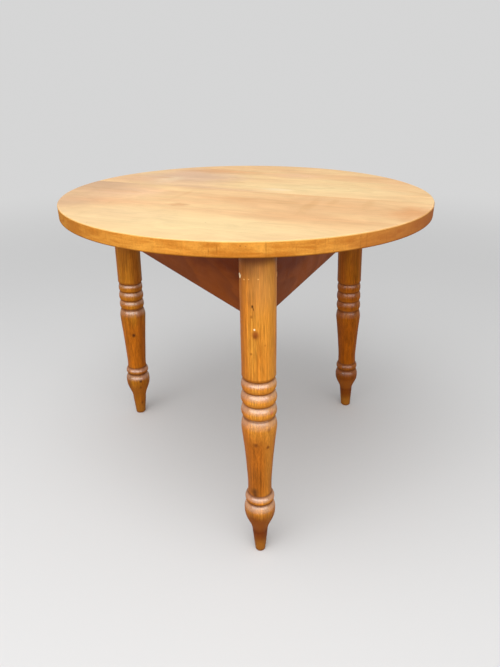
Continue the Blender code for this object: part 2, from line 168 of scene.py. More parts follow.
class Tree:
    """Adds nodes to a tree and links them, so that a finish reads as a list of steps."""

    def __init__(self, tree):
        self.tree = tree
        tree.nodes.clear()

    def add(self, kind, inputs=(), **settings):
        """Adds a shader node, with its sockets' values or links and its own settings."""
        node = self.tree.nodes.new(f"ShaderNode{kind}")
        for name, value in settings.items():
            setattr(node, name, value)
        for name, value in dict(inputs).items():
            self.put(node.inputs[name], value)
        return node

    def put(self, socket, value):
        """Links an output to the socket, or sets the socket's own value."""
        if isinstance(value, bpy.types.NodeSocket):
            self.tree.links.new(value, socket)
        elif socket.type == "RGBA" and len(value) == 3:
            socket.default_value = (*value, 1)
        else:
            socket.default_value = value

    def sum(self, operation, *values):
        """Works out one operation on plain values."""
        return self.add("Math", enumerate(values), operation=operation).outputs[0]

    def times(self, first, second):
        return self.sum("MULTIPLY", first, second)

    def line(self, value, slope, start):
        """The value times a slope, plus a start."""
        return self.sum("MULTIPLY_ADD", value, slope, start)

    def shift(self, operation, *values):
        """Works out one operation on vectors. A length or a dot product is a plain value."""
        node = self.add("VectorMath", enumerate(values), operation=operation)
        return node.outputs[1 if operation in ("LENGTH", "DOT_PRODUCT") else 0]

    def scaled(self, vector, scale):
        """A vector times a plain value."""
        return self.add("VectorMath", {0: vector, "Scale": scale}, operation="SCALE").outputs[0]

    def part(self, vector):
        """The three parts of a vector."""
        return tuple(self.add("SeparateXYZ", {0: vector}).outputs)

    def noise(self, vector, scale, detail=2.0, rough=0.5, warp=0.0):
        """Noise from 0 to 1. A scale of three numbers draws it out along the axes with the smaller ones."""
        if isinstance(scale, tuple):
            vector = self.shift("MULTIPLY", vector, scale)
            scale = 1.0
        inputs = {"Vector": vector, "Scale": scale, "Detail": detail, "Roughness": rough, "Distortion": warp}
        return self.add("TexNoise", inputs).outputs[0]

    def between(self, value, low, high, out_low=0.0, out_high=1.0):
        """Eases a value from one range into another."""
        inputs = enumerate((value, low, high, out_low, out_high))
        return self.add("MapRange", inputs, interpolation_type="SMOOTHSTEP").outputs[0]

    def mix(self, share, first, second, blend="MIX"):
        """Colours mixed by a share from 0 to 1."""
        inputs = {0: share, 6: first, 7: second}
        return self.add("Mix", inputs, data_type="RGBA", blend_type=blend).outputs[2]

    def tint(self, colour, pattern, strength):
        """A colour made lighter or darker by a pattern about its middle value of a half."""
        swing = self.line(pattern, 2 * strength, 1 - strength)
        grey = self.add("CombineColor", {0: swing, 1: swing, 2: swing}).outputs[0]
        return self.mix(1.0, colour, grey, "MULTIPLY")

    def group(self, name, vector, inputs=()):
        """The outputs of a shared node group, which is made the first time that a finish asks for it."""
        tree = bpy.data.node_groups.get(name) or GROUP_MAKERS[name](name)
        return self.add("Group", {"Vector": vector, **dict(inputs)}, node_tree=tree).outputs

    def rings(self, vector, across, depth, width, taper, waviness):
        """Growth rings round a pith at a place across and below the piece."""
        inputs = {"Pith Across": across, "Pith Depth": depth}
        inputs |= {"Ring Width": width, "Taper": taper, "Waviness": waviness}
        return self.group("growth rings", vector, inputs)


class Finish(Tree):
    """A material with one shader, whose colour is laid on step by step."""

    def __init__(self, name):
        self.material = bpy.data.materials.new(name)
        self.material.use_nodes = True
        super().__init__(self.material.node_tree)
        self.shader = self.add("BsdfPrincipled")
        self.output = self.add("OutputMaterial", {0: self.shader.outputs[0]})
        self.point = self.add("TexCoord").outputs["Object"]

    def in_frame(self, place):
        """Object coordinates seen from a frame, whose X runs along the grain."""
        inputs = {"Vector": self.point, "Location": place.to_translation(), "Rotation": place.to_euler()}
        return self.add("Mapping", inputs, vector_type="TEXTURE").outputs[0]

    def attribute(self, name):
        """A value that the mesh carries at its points."""
        return self.add("Attribute", attribute_name=name).outputs["Fac"]

    def lay(self, tone, share):
        """Mixes a tone over the colour."""
        self.colour = self.mix(share, self.colour, tone)

    def fade(self, tone, value, low, high, start=0.0, end=1.0):
        """Lays a tone whose share eases from start to end as the value goes from low to high."""
        self.lay(tone, self.between(value, low, high, start, end))

    def shade(self, *patterns):
        """Tints the colour with patterns, each with its strength."""
        for pattern, strength in patterns:
            self.colour = self.tint(self.colour, pattern, strength)

    def spots(self, vector, rows):
        """Lays blurred patches. Each is a centre, a size, a tone, a share and how ragged it is."""
        for centre, size, tone, share, ragged in rows:
            inputs = {"Centre": centre, "Size": size, "Ragged": ragged, "Core": SPOT_CORE}
            self.lay(tone, self.times(self.group("soft spot", vector, inputs)["Mask"], share))

    def specks(self, vector, scale, size, share, strength):
        """A mask of small specks, as strong as asked for."""
        inputs = {"Scale": scale, "Size": size, "Share": share}
        return self.times(self.group("specks", vector, inputs)["Mask"], strength)

    def late(self, rings, low, high):
        """The dark late wood, of a strength of its own in each growth ring."""
        return self.times(rings["Late"], self.between(rings["Ring"], 0.0, 1.0, low, high))

    def set(self, inputs):
        """Feeds sockets of the shader."""
        for name, value in inputs.items():
            self.put(self.shader.inputs[name], value)

    def done(self, inputs, *bumps):
        """Feeds the shader and adds bumps one over another, each a height and its depth in metres."""
        self.set({"Base Color": self.colour, **inputs})
        under = {}
        for height, depth in bumps:
            bump = self.add("Bump", {"Height": height, "Strength": 1.0, "Distance": depth, **under})
            under = {"Normal": bump.outputs[0]}
        self.set(under)
        return self.material


def new_group(name, inputs, outputs):
    """An empty node group that takes a vector and the inputs. Its Tree, its inputs and its outputs."""
    tree = bpy.data.node_groups.new(name, "ShaderNodeTree")
    for label, default in {"Vector": (0, 0, 0), **inputs}.items():
        kind = "NodeSocketVector" if isinstance(default, tuple) else "NodeSocketFloat"
        socket = tree.interface.new_socket(label, in_out="INPUT", socket_type=kind)
        socket.default_value = default
    for label in outputs:
        tree.interface.new_socket(label, in_out="OUTPUT", socket_type="NodeSocketFloat")
    nodes = Tree(tree)
    return nodes, tree.nodes.new("NodeGroupInput").outputs, tree.nodes.new("NodeGroupOutput").inputs


def growth_rings_group(name):
    """Growth rings of a trunk: circles about the grain, X, round a pith that lies away from the piece.

    Distance = length of (Y, Z) from the pith, moved by slow noise, plus a taper along the grain.
    Late = a saw tooth of distance over ring width, which darkens slowly and ends sharply.
    Ring = a value of its own for each ring.
    """
    inputs = {"Pith Across": 0.0, "Pith Depth": 0.08, "Ring Width": 0.003, "Taper": 0.02, "Waviness": 0.01}
    nodes, given, out = new_group(name, inputs, ("Late", "Ring"))
    slow = nodes.noise(given["Vector"], (0.9, 5.0, 5.0))
    quick = nodes.noise(given["Vector"], (5.0, 30.0, 30.0))
    along, across, depth = nodes.part(given["Vector"])
    off_across = nodes.sum("SUBTRACT", across, given["Pith Across"])
    off_depth = nodes.sum("SUBTRACT", depth, given["Pith Depth"])
    distance = nodes.sum("SQRT", nodes.line(off_depth, off_depth, nodes.times(off_across, off_across)))
    distance = nodes.line(along, given["Taper"], distance)
    distance = nodes.line(nodes.line(quick, 0.1, slow), given["Waviness"], distance)
    turns = nodes.sum("DIVIDE", distance, given["Ring Width"])
    uneven = nodes.noise(nodes.add("CombineXYZ", {0: turns}).outputs[0], 0.35, 1.0)
    turns = nodes.line(uneven, 2.2, turns)
    tooth = nodes.sum("FRACT", turns)
    drop = nodes.between(tooth, 0.93, 1.0, 1.0, 0.0)
    nodes.put(out["Late"], nodes.times(nodes.between(tooth, 0.35, 0.9), drop))
    number = nodes.add("TexWhiteNoise", {"W": nodes.sum("FLOOR", turns)}, noise_dimensions="1D")
    nodes.put(out["Ring"], number.outputs[0])
    return nodes.tree


def fibres_group(name):
    """Fibres along X: noise drawn out along the grain, in bands, in streaks and in hairs."""
    nodes, given, out = new_group(name, {"Spread": 1.0}, ("Bands", "Streaks", "Hairs"))
    vector = nodes.scaled(given["Vector"], given["Spread"])
    nodes.put(out["Bands"], nodes.noise(vector, (2.5, 60.0, 60.0), 3.0, 0.6, 0.3))
    nodes.put(out["Streaks"], nodes.noise(vector, (9.0, 330.0, 330.0), 3.0, 0.65))
    nodes.put(out["Hairs"], nodes.noise(vector, (38.0, 1500.0, 1500.0), 2.0, 0.6))
    return nodes.tree


def soft_spot_group(name):
    """A blurred patch: 1 at its centre, easing to 0 where its ellipsoid ends, with a ragged edge."""
    inputs = {"Centre": (0, 0, 0), "Size": (0.1, 0.1, 0.1), "Core": 0.3, "Ragged": 0.3}
    nodes, given, out = new_group(name, inputs, ("Mask",))
    away = nodes.shift("DIVIDE", nodes.shift("SUBTRACT", given["Vector"], given["Centre"]), given["Size"])
    ragged = nodes.sum("SUBTRACT", nodes.noise(away, 1.6, 3.0), 0.5)
    distance = nodes.line(ragged, nodes.times(given["Ragged"], 2.0), nodes.shift("LENGTH", away))
    nodes.put(out["Mask"], nodes.between(distance, given["Core"], 1.0, 1.0, 0.0))
    return nodes.tree


def specks_group(name):
    """Small dark specks: the cores of random cells, kept only where a cell's own value is low."""
    nodes, given, out = new_group(name, {"Scale": 60.0, "Size": 0.08, "Share": 0.15}, ("Mask",))
    inputs = {"Vector": given["Vector"], "Scale": given["Scale"], "Randomness": 1.0}
    cells = nodes.add("TexVoronoi", inputs).outputs
    core = nodes.between(cells["Distance"], nodes.times(given["Size"], 0.4), given["Size"], 1.0, 0.0)
    value = nodes.add("SeparateColor", {0: cells["Color"]}).outputs[0]
    nodes.put(out["Mask"], nodes.times(core, nodes.sum("LESS_THAN", value, given["Share"])))
    return nodes.tree


def dents_group(name):
    """Knocks and rubs: shallow soft hollows over slow waves, as a height, and patches worn by rubbing."""
    nodes, given, out = new_group(name, {"Scale": 1.0}, ("Height", "Rubbed"))
    vector = nodes.scaled(given["Vector"], given["Scale"])
    hollow = nodes.between(nodes.noise(vector, 70.0, 1.5), 0.6, 0.74, 1.0, 0.0)
    nodes.put(out["Height"], nodes.line(nodes.noise(vector, 9.0), 0.5, hollow))
    nodes.put(out["Rubbed"], nodes.between(nodes.noise(vector, 24.0, 5.0, 0.7), 0.35, 0.68))
    return nodes.tree


GROUP_MAKERS = {
    "growth rings": growth_rings_group,
    "fibres": fibres_group,
    "soft spot": soft_spot_group,
    "specks": specks_group,
    "dents": dents_group,
}


# Meshes


def closed_mesh(name, rings, poles, values=(), sharp=math.radians(40)):
    """A closed mesh from rings of points with a pole at each end.

    rings has the shape (rows, columns, 3), and its columns wrap round. values
    maps an attribute's name to an array of (rows, columns). Faces are turned
    outwards by the sign of the volume, the sum of the triangles' triple products.
    """
    rows, columns = rings.shape[:2]
    points = np.concatenate([rings.reshape(-1, 3), np.array(poles, dtype=float)])
    start = np.arange(columns)
    beside = (start + 1) % columns
    row = columns * np.arange(rows - 1)[:, None]
    quads = np.stack([row + start, row + beside, row + beside + columns, row + start + columns], axis=-1)
    quads = quads.reshape(-1, 4)
    last = (rows - 1) * columns
    pole = np.full(columns, rows * columns)
    fans = ([beside, start, pole], [start + last, beside + last, pole + 1])
    fans = np.concatenate([np.stack(fan, axis=-1) for fan in fans])
    triangles = np.concatenate([quads[:, :3], quads[:, [0, 2, 3]], fans])
    a, b, c = (points[triangles[:, corner]] for corner in range(3))
    if np.einsum("ij,ij->", a, np.cross(b, c)) < 0:
        quads = quads[:, ::-1]
        fans = fans[:, ::-1]
    mesh = bpy.data.meshes.new(name)
    mesh.from_pydata(points, [], quads.tolist() + fans.tolist())
    for label, grid in dict(values).items():
        flat = np.concatenate([grid.reshape(-1), grid[0].mean(keepdims=True), grid[-1].mean(keepdims=True)])
        mesh.attributes.new(label, "FLOAT", "POINT").data.foreach_set("value", flat.astype(np.float32))
    mesh.shade_smooth()
    mesh.set_sharp_from_angle(angle=sharp)
    return mesh


def new_piece(node, mesh, material):
    """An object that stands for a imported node."""
    piece = bpy.data.objects.new(f"dressed_{node}", mesh)
    bpy.context.scene.collection.objects.link(piece)
    mesh.materials.append(material)
    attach(piece, "root")
    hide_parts(node)


def sway(x, y, waves):
    """A sum of sine waves. Each wave is how fast it runs along x and along y, its start and its size."""
    return sum(size * np.sin(along * x + across * y + start) for along, across, start, size in waves)


# The top

RIM_WAVES = ((3, 0, 0.7, 0.5), (7, 0, 2.1, 0.3), (16, 0, 4.0, 0.12), (41, 0, 1.0, 0.06))
RIM_WAVE_DEPTH = 0.0004
RIM_WAVE_POWER = 12
FACE_RINGS = 45
FACE_CROWDING = 1.6
EDGE_RINGS = 6
SIDE_RINGS = 6
ARC_POINTS = 220
LINE_POINTS = 120
BOARD_SHARP = math.radians(50)
# Painted highlight along the rim's upper arris: how far below the top face its pale band starts and where it
# is full
PAINTED_CREST_HIGHLIGHT = (0.0034, 0.0012)
LOW_EDGE = (0.001, 0.004)

# Cracks and specks in the rim, in the boards' frame: middle, half sizes, tone, share and ragged edge
RIM_MARKS = (
    ((0.1904, -0.3906, 0.736), (0.0009, 0.006, 0.01), (0.22, 0.065, 0.006), 0.2, 0.6),
    ((0.236, -0.3649, 0.734), (0.0011, 0.006, 0.011), (0.16, 0.045, 0.004), 0.4, 0.4),
    ((0.113, -0.4196, 0.735), (0.0016, 0.006, 0.013), (0.16, 0.045, 0.004), 0.45, 0.5),
    ((0.099, -0.4231, 0.732), (0.001, 0.006, 0.008), (0.1, 0.028, 0.003), 0.5, 0.3),
    ((0.1508, -0.4075, 0.742), (0.0024, 0.006, 0.0016), (0.08, 0.02, 0.003), 0.85, 0.4),
)
TOP_TONES = {
    # grey is partly stain and partly a painted reflection of the sky at the back of the top
    "grey": (0.7, 0.47, 0.362),
    "plum": (0.58, 0.33, 0.27),
    "peach": (0.91, 0.575, 0.362),
    "brown": (0.8, 0.47, 0.235),
    "amber": (0.75, 0.38, 0.17),
    "russet": (0.7, 0.39, 0.17),
    "yellow": (0.925, 0.7, 0.378),
    "cream": (0.935, 0.75, 0.49),
}
PATCH_DEPTH = 0.1

# Patches on the top, in the boards' frame: middle, half length and width, tone, share and ragged edge
STREAK = (-0.1, 0.015, 0.24, 0.03, "plum", 0.25, 0.5)
FRONT_PATCHES = (
    (-0.43, -0.02, 0.26, 0.28, (0.66, 0.43, 0.27), 0.95, 0.4),
    (-0.35, -0.25, 0.15, 0.14, (0.68, 0.44, 0.27), 0.85, 0.4),
    (0.22, -0.22, 0.28, 0.075, "brown", 0.7, 0.5),
    (0.0, -0.34, 0.46, 0.15, "yellow", 0.95, 0.3),
    (-0.17, -0.31, 0.2, 0.12, (0.86, 0.61, 0.35), 0.65, 0.4),
    (-0.22, -0.2, 0.2, 0.055, (0.84, 0.475, 0.265), 0.5, 0.5),
    (-0.085, -0.183, 0.036, 0.023, (0.62, 0.31, 0.15), 0.6, 0.7),
)
BACK_PATCHES = (
    # Grey patch: partly stain, partly painted reflection of the sky
    (-0.24, 0.15, 0.24, 0.21, "grey", 0.66, 0.4),
    (-0.36, 0.07, 0.09, 0.09, (0.8, 0.5, 0.3), 0.6, 0.5),
    (-0.26, 0.1, 0.045, 0.075, "cream", 0.4, 0.5),
    (-0.17, 0.27, 0.17, 0.055, "amber", 0.5, 0.5),
    (0.22, 0.28, 0.2, 0.07, "brown", 0.5, 0.5),
    (0.05, 0.27, 0.1, 0.06, "peach", 0.5, 0.5),
)
MIDDLE_FRONT_PATCHES = (
    (0.19, -0.09, 0.4, 0.15, "brown", 0.8, 0.35),
    (0.4, -0.1, 0.07, 0.09, "amber", 0.8, 0.5),
    (0.185, -0.1, 0.02, 0.12, "russet", 0.42, 0.6),
    (0.225, -0.05, 0.016, 0.06, "russet", 0.3, 0.6),
    (0.3, -0.04, 0.018, 0.07, "russet", 0.25, 0.6),
    (-0.128, -0.08, 0.012, 0.09, "brown", 0.4, 0.5),
    (-0.28, -0.1, 0.16, 0.12, "peach", 0.7, 0.3),
    (0.0, -0.085, 0.1, 0.025, "amber", 0.35, 0.6),
    (0.17, 0.005, 0.28, 0.018, "amber", 0.3, 0.4),
    STREAK,
    *FRONT_PATCHES,
)
MIDDLE_BACK_PATCHES = (
    (0.14, 0.09, 0.32, 0.1, "yellow", 0.8, 0.3),
    (0.06, 0.052, 0.06, 0.022, "cream", 0.7, 0.4),
    STREAK,
    *BACK_PATCHES,
)

# Each board from the front: how far it has sunk, the least and most share of honey, how far its
# pith lies across it, and its patches
BOARDS = {
    "front_top_board": (0.0, (0.1, 0.6), 0.02, FRONT_PATCHES),
    "middle_front_top_board": (0.00003, (0.1, 0.6), -0.08, MIDDLE_FRONT_PATCHES),
    "middle_back_top_board": (0.0, (0.0, 0.45), 0.1, MIDDLE_BACK_PATCHES),
    "back_top_board": (0.00005, (0.2, 0.7), 0.3, BACK_PATCHES),
}


def board_outline(radius, low, high, inset, joint_inset):
    """The plan of a board, as rings drawn in from its edge.

    The board is the disc between two joint lines. inset and joint_inset are
    arrays of one value a ring: how far the ring lies inside the rim and inside
    the joints. Arcs run at even angles between the corners, whose angle is the
    arcsine of the joint's offset over the radius, and lines run evenly.
    """
    reach = (radius - inset)[:, None]
    rim_low, rim_high = -math.pi / 2, math.pi / 2
    if low is not None:
        low = low + joint_inset[:, None]
        rim_low = np.arcsin(low / reach)
    if high is not None:
        high = high - joint_inset[:, None]
        rim_high = np.arcsin(high / reach)
    turn = (rim_high - rim_low) * np.linspace(0, 1, ARC_POINTS, endpoint=False)
    run = np.linspace(0, 1, LINE_POINTS, endpoint=False)
    right = rim_low + turn
    left = math.pi - rim_high + turn
    parts = [(reach * np.cos(right), reach * np.sin(right))]
    if high is not None:
        end = reach * np.cos(rim_high)
        parts.append((end - 2 * end * run, high + 0 * run))
    parts.append((reach * np.cos(left), reach * np.sin(left)))
    if low is not None:
        end = reach * np.cos(rim_low)
        parts.append((-end + 2 * end * run, low + 0 * run))
    return (np.concatenate(way, axis=1) for way in zip(*parts))


def round_drop(distance, radius):
    """How far a rounded edge lies below the flat, at a distance in from the side: a quarter circle."""
    inside = np.clip(radius - distance, 0, radius)
    return radius - np.sqrt(np.clip(radius * radius - inside * inside, 0, None))


def board_mesh(name, settings, low, high, level, under):
    """One board of the top as rings: top face, rounded edge, side, rounded edge, underside.

    A face's rings crowd towards its edge. The face falls by the square of the
    way out from the board's middle line, and by a quarter circle at its edges.
    The rim is pulled in unevenly by slow waves round the table.
    """
    radius = settings.diameter / 2
    arris = settings.arris
    spread = 1 - (1 - np.linspace(0, 1, FACE_RINGS + 1)[1:]) ** FACE_CROWDING
    turn = np.linspace(0, math.pi / 2, EDGE_RINGS + 1)[1:]
    flat = np.ones_like(spread)
    eased = 1 - np.sin(turn)
    side = np.linspace(0, 1, SIDE_RINGS + 2)[1:-1]
    share = np.concatenate([spread, np.ones(2 * len(turn) + len(side)), spread[::-1]])
    inset = np.concatenate([flat, eased, 0 * side, eased[::-1], flat])
    along, across = board_outline(radius, low, high, inset * arris, inset * settings.joint_arris)
    beyond = radius if high is None else high
    before = -radius if low is None else low
    middle = (beyond + before) / 2
    along = along * share[:, None]
    across = middle + (across - middle) * share[:, None]
    reach = np.hypot(along, across)
    edge = np.full(reach.shape, 1.0)
    if low is not None:
        edge = np.minimum(edge, across - low)
    if high is not None:
        edge = np.minimum(edge, high - across)
    drop = np.maximum(round_drop(radius - reach, arris), round_drop(edge, settings.joint_arris))
    cup = settings.cup * ((across - middle) / ((beyond - before) / 2)) ** 2
    top_rows = len(spread) + len(turn)
    low_rows = top_rows + len(side)
    height = np.empty_like(reach)
    height[:top_rows] = (level - cup - drop)[:top_rows]
    height[low_rows:] = (under + drop)[low_rows:]
    top_edge = height[top_rows - 1]
    height[top_rows:low_rows] = top_edge + (height[low_rows] - top_edge) * side[:, None]
    uneven = (1 + sway(np.arctan2(across, along), height, RIM_WAVES)) / 2
    pull = 1 - RIM_WAVE_DEPTH / radius * uneven * (reach / radius) ** RIM_WAVE_POWER
    inside = (radius - reach) / arris
    rim = np.clip(1 - inside, 0, 1)
    rim[:top_rows] = rim[:top_rows] ** 2
    rim[low_rows:] = np.clip(2 - inside[low_rows:], 0, 1)
    underside = np.zeros_like(reach)
    underside[low_rows + len(turn) :] = 1
    cosine = math.cos(settings.board_turn)
    sine = math.sin(settings.board_turn)
    x = (along * cosine - across * sine) * pull
    y = (along * sine + across * cosine) * pull
    centre = (-middle * sine, middle * cosine)
    poles = ((*centre, level), (*centre, under))
    values = {"rim": rim, "underside": underside}
    return closed_mesh(name, np.stack([x, y, height], axis=-1), poles, values, BOARD_SHARP)


def top_finish(name, settings, honey, pith, patches, seed):
    """Waxed pine: pale and honey patches, faint growth rings, fine fibres, worn joints and an orange rim,
    with a painted highlight along the rim's upper arris and a grey patch that is partly painted reflection.
    """
    wood = Finish(name)
    grain = wood.in_frame(Matrix.Rotation(settings.board_turn, 4, "Z"))
    moved = wood.shift("ADD", grain, (seed * 1.7, seed * 0.31, seed * 0.09))
    rings = wood.rings(moved, seed * 0.31 + pith, 0.62 + seed * 0.09, 0.0042, 0.035, 0.05)
    fibres = wood.group("fibres", moved)
    dents = wood.group("dents", moved)
    rim = wood.attribute("rim")

    rim_cloud = wood.noise(moved, (12.0, 16.0, 70.0), 4.0, 0.6, 0.6)
    wood.colour = wood.mix(wood.between(rim_cloud, 0.3, 0.7), settings.rim, (0.62, 0.272, 0.042))
    wood.shade(
        (wood.noise(moved, (20.0, 26.0, 260.0), 4.0, 0.6, 0.4), 0.16),
        (wood.noise(moved, (120.0, 120.0, 14.0), 3.0), 0.16),
        (wood.noise(moved, 330.0, 3.0, 0.65), 0.26),
    )
    along, _, upright = wood.part(wood.point)
    wood.fade((0.33, 0.104, 0.03), along, 0.06, 0.42, 0.0, 0.95)
    wood.fade((0.32, 0.12, 0.022), along, -0.43, -0.2, 0.55, 0.0)
    # Painted highlight: a pale band along the rim's upper arris
    wood.fade((0.88, 0.52, 0.135), upright, CAD_HIGH.z - PAINTED_CREST_HIGHLIGHT[0], CAD_HIGH.z - PAINTED_CREST_HIGHLIGHT[1], 0.0, 0.45)
    wood.fade((0.16, 0.045, 0.004), upright, BOARD_LOW.z + LOW_EDGE[0], BOARD_LOW.z + LOW_EDGE[1], 0.78, 0.0)
    wood.spots(grain, RIM_MARKS)
    rim_colour = wood.colour

    cloud = wood.noise(grain, (4.0, 9.0, 9.0), 4.0, 0.6, 0.6)
    wood.colour = wood.mix(wood.between(cloud, 0.32, 0.7, *honey), settings.pale, settings.honey)
    for x, y, half_long, half_wide, tone, share, ragged in patches:
        size = (half_long, half_wide, PATCH_DEPTH)
        wood.spots(grain, [((x, y, CAD_HIGH.z), size, TOP_TONES.get(tone, tone), share, ragged)])
    blotch = wood.noise(grain, (11.0, 20.0, 20.0), 5.0, 0.62, 0.8)
    wood.shade((blotch, 0.18), (fibres["Bands"], 0.09), (fibres["Streaks"], 0.09), (fibres["Hairs"], 0.035))
    wood.lay((0.6, 0.28, 0.08), wood.late(rings, 0.04, 0.16))
    wood.lay(rim_colour, rim)
    wood.lay((0.16, 0.06, 0.02), wood.specks(moved, 42.0, 0.055, 0.1, 0.7))
    hairs = wood.between(wood.noise(moved, (330.0, 330.0, 8.0), 1.0), 0.7, 0.78)
    marks = wood.sum("MAXIMUM", wood.specks(moved, 105.0, 0.13, 0.4, 0.6), wood.times(hairs, 0.3))
    wood.lay((0.12, 0.035, 0.004), wood.times(marks, rim))
    wood.lay(wood.tint((0.42, 0.25, 0.12), cloud, 0.4), wood.attribute("underside"))
    gloss = wood.between(wood.noise(moved, 7.0, 5.0, 0.6), 0.3, 0.7, 0.6, 0.74)
    return wood.done(
        {"Roughness": wood.line(dents["Rubbed"], 0.06, gloss), "Specular IOR Level": 0.015},
        (dents["Height"], 0.0001),
        (rings["Late"], 0.00003),
        (fibres["Streaks"], 0.00004),
        (fibres["Hairs"], 0.00002),
    )


class TABLE_OT_top(bpy.types.Operator):
    """Lay the four edge-jointed boards of the round top"""

    bl_idname = "table.top"
    bl_label = "Top boards"

    def execute(self, context):
        settings = context.scene.table_top
        level = CAD_HIGH.z
        joints = [settings.middle_joint + settings.board_width * step for step in (-1, 0, 1)]
        lows = [None, *(joint + JOINT_GAP / 2 for joint in joints)]
        highs = [*(joint - JOINT_GAP / 2 for joint in joints), None]
        for seed, (node, low, high) in enumerate(zip(BOARDS, lows, highs), 1):
            sunk, honey, pith, patches = BOARDS[node]
            mesh = board_mesh(node, settings, low, high, level - sunk, level - settings.thickness)
            finish = top_finish(f"{node}_pine", settings, honey, pith, patches, seed)
            new_piece(node, mesh, finish)
        return {"FINISHED"}


# The legs

# The hand-turned legs differ: the heights of the top of the three beads and of the top of the
# bulb, and how tall the beads are as a share
LEG_TURNING = {
    "front": (0.459, 0.1495, 1.0),
    "right": (0.4435, 0.144, 1.0),
    "left": (0.457, 0.153, 0.9),
}
# How much wider than the settings each leg is at its beads, vase, neck, bulb, ankle and foot, how much
# higher its ankle lies, and the power of its vase's taper
LEG_GIRTH = {
    "front": (0.0, 0.0, 0.0, 0.0, 0.0, 0.0, 0.0, 1.4),
    "right": (-0.003, -0.002, 0.0018, 0.0, 0.0038, 0.007, 0.006, 1.25),
    "left": (-0.0032, 0.0, 0.004, 0.003, 0.0055, 0.0065, 0.0, 1.15),
}
# Each bead: its diameter, how tall it is, how far down its crown lies and the power of its upper side
BEADS = ((0.0722, 0.0265, 0.52, 1.8), (0.0742, 0.0305, 0.58, 1.8), (0.0748, 0.03, 0.58, 1.8))
SMALL_BEAD = (0.0652, 0.0225, 0.56, 1.6)
SMALL_BEAD_TOP = 0.053
SMALL_BEAD_LOW = 0.054
SHAFT_EDGE_RISE = 0.0055
SHAFT_EDGE_EASE = (0.0004, 0.001)
VASE_DROP = 0.026
NECK_HEIGHT = 0.193
BULB_SHOULDER_DROP = 0.0215
BULB_DROP = 0.0275
BULB_EASE = 0.0002
ANKLE_DIAMETER = 0.035
ANKLE_HEIGHT = 0.058
FOOT_ARRIS = (0.0012, 0.002)
VASE_GROOVE_DROP = 0.0028
BULB_GROOVES = (0.004, 0.0015, -0.0015)
GROOVE_WIDTH = 0.0026
SCRIBE_WIDTH = 0.0012
SCRIBE_DARKNESS = 0.4
LEG_WAVES = ((60, 0, 0.4, 0.00008), (23, 1, 1.9, 0.0001), (140, 2, 0.0, 0.00004))
LEG_WAVE_INSET = 0.00012
LEG_SIDES = 112
LEG_SHARP = math.radians(60)
LEVEL_ABOVE_BEADS = 0.03
LEVEL_BELOW = 0.06
SLOPE_HALF = 0.25

# Each leg: its colours as a share of the settings', below 1 on the back legs partly as painted shade, its
# pith, the least and most share of amber, and how strong are its red foot, the painted shade of its vase, its
# coat and its painted highlight on slopes that face up
LEG_LOOKS = {
    "front": ((1.0, 1.0, 1.0), (-0.3, 0.03), (0.0, 0.75), 1.0, 0.66, 0.48, 0.26),
    "right": ((0.53, 0.45, 0.1), (0.24, -0.1), (0.3, 1.0), 0.8, 1.03, 0.18, 0.0),
    "left": ((0.74, 0.72, 0.45), (-0.22, -0.14), (0.25, 0.95), 0.4, 1.12, 0.46, 0.14),
}
LEG_TONES = {
    "knot": (0.15, 0.038, 0.005),
    "black": (0.05, 0.014, 0.004),
    "brown": (0.38, 0.11, 0.01),
    "pale": (0.92, 0.52, 0.16),
    "white": (0.95, 0.75, 0.5),
}
MARK_RADIUS = 0.033
MARK_DEPTH = 0.03
MARK_RAGGED = 0.12
VASE_MIDDLE = 0.25

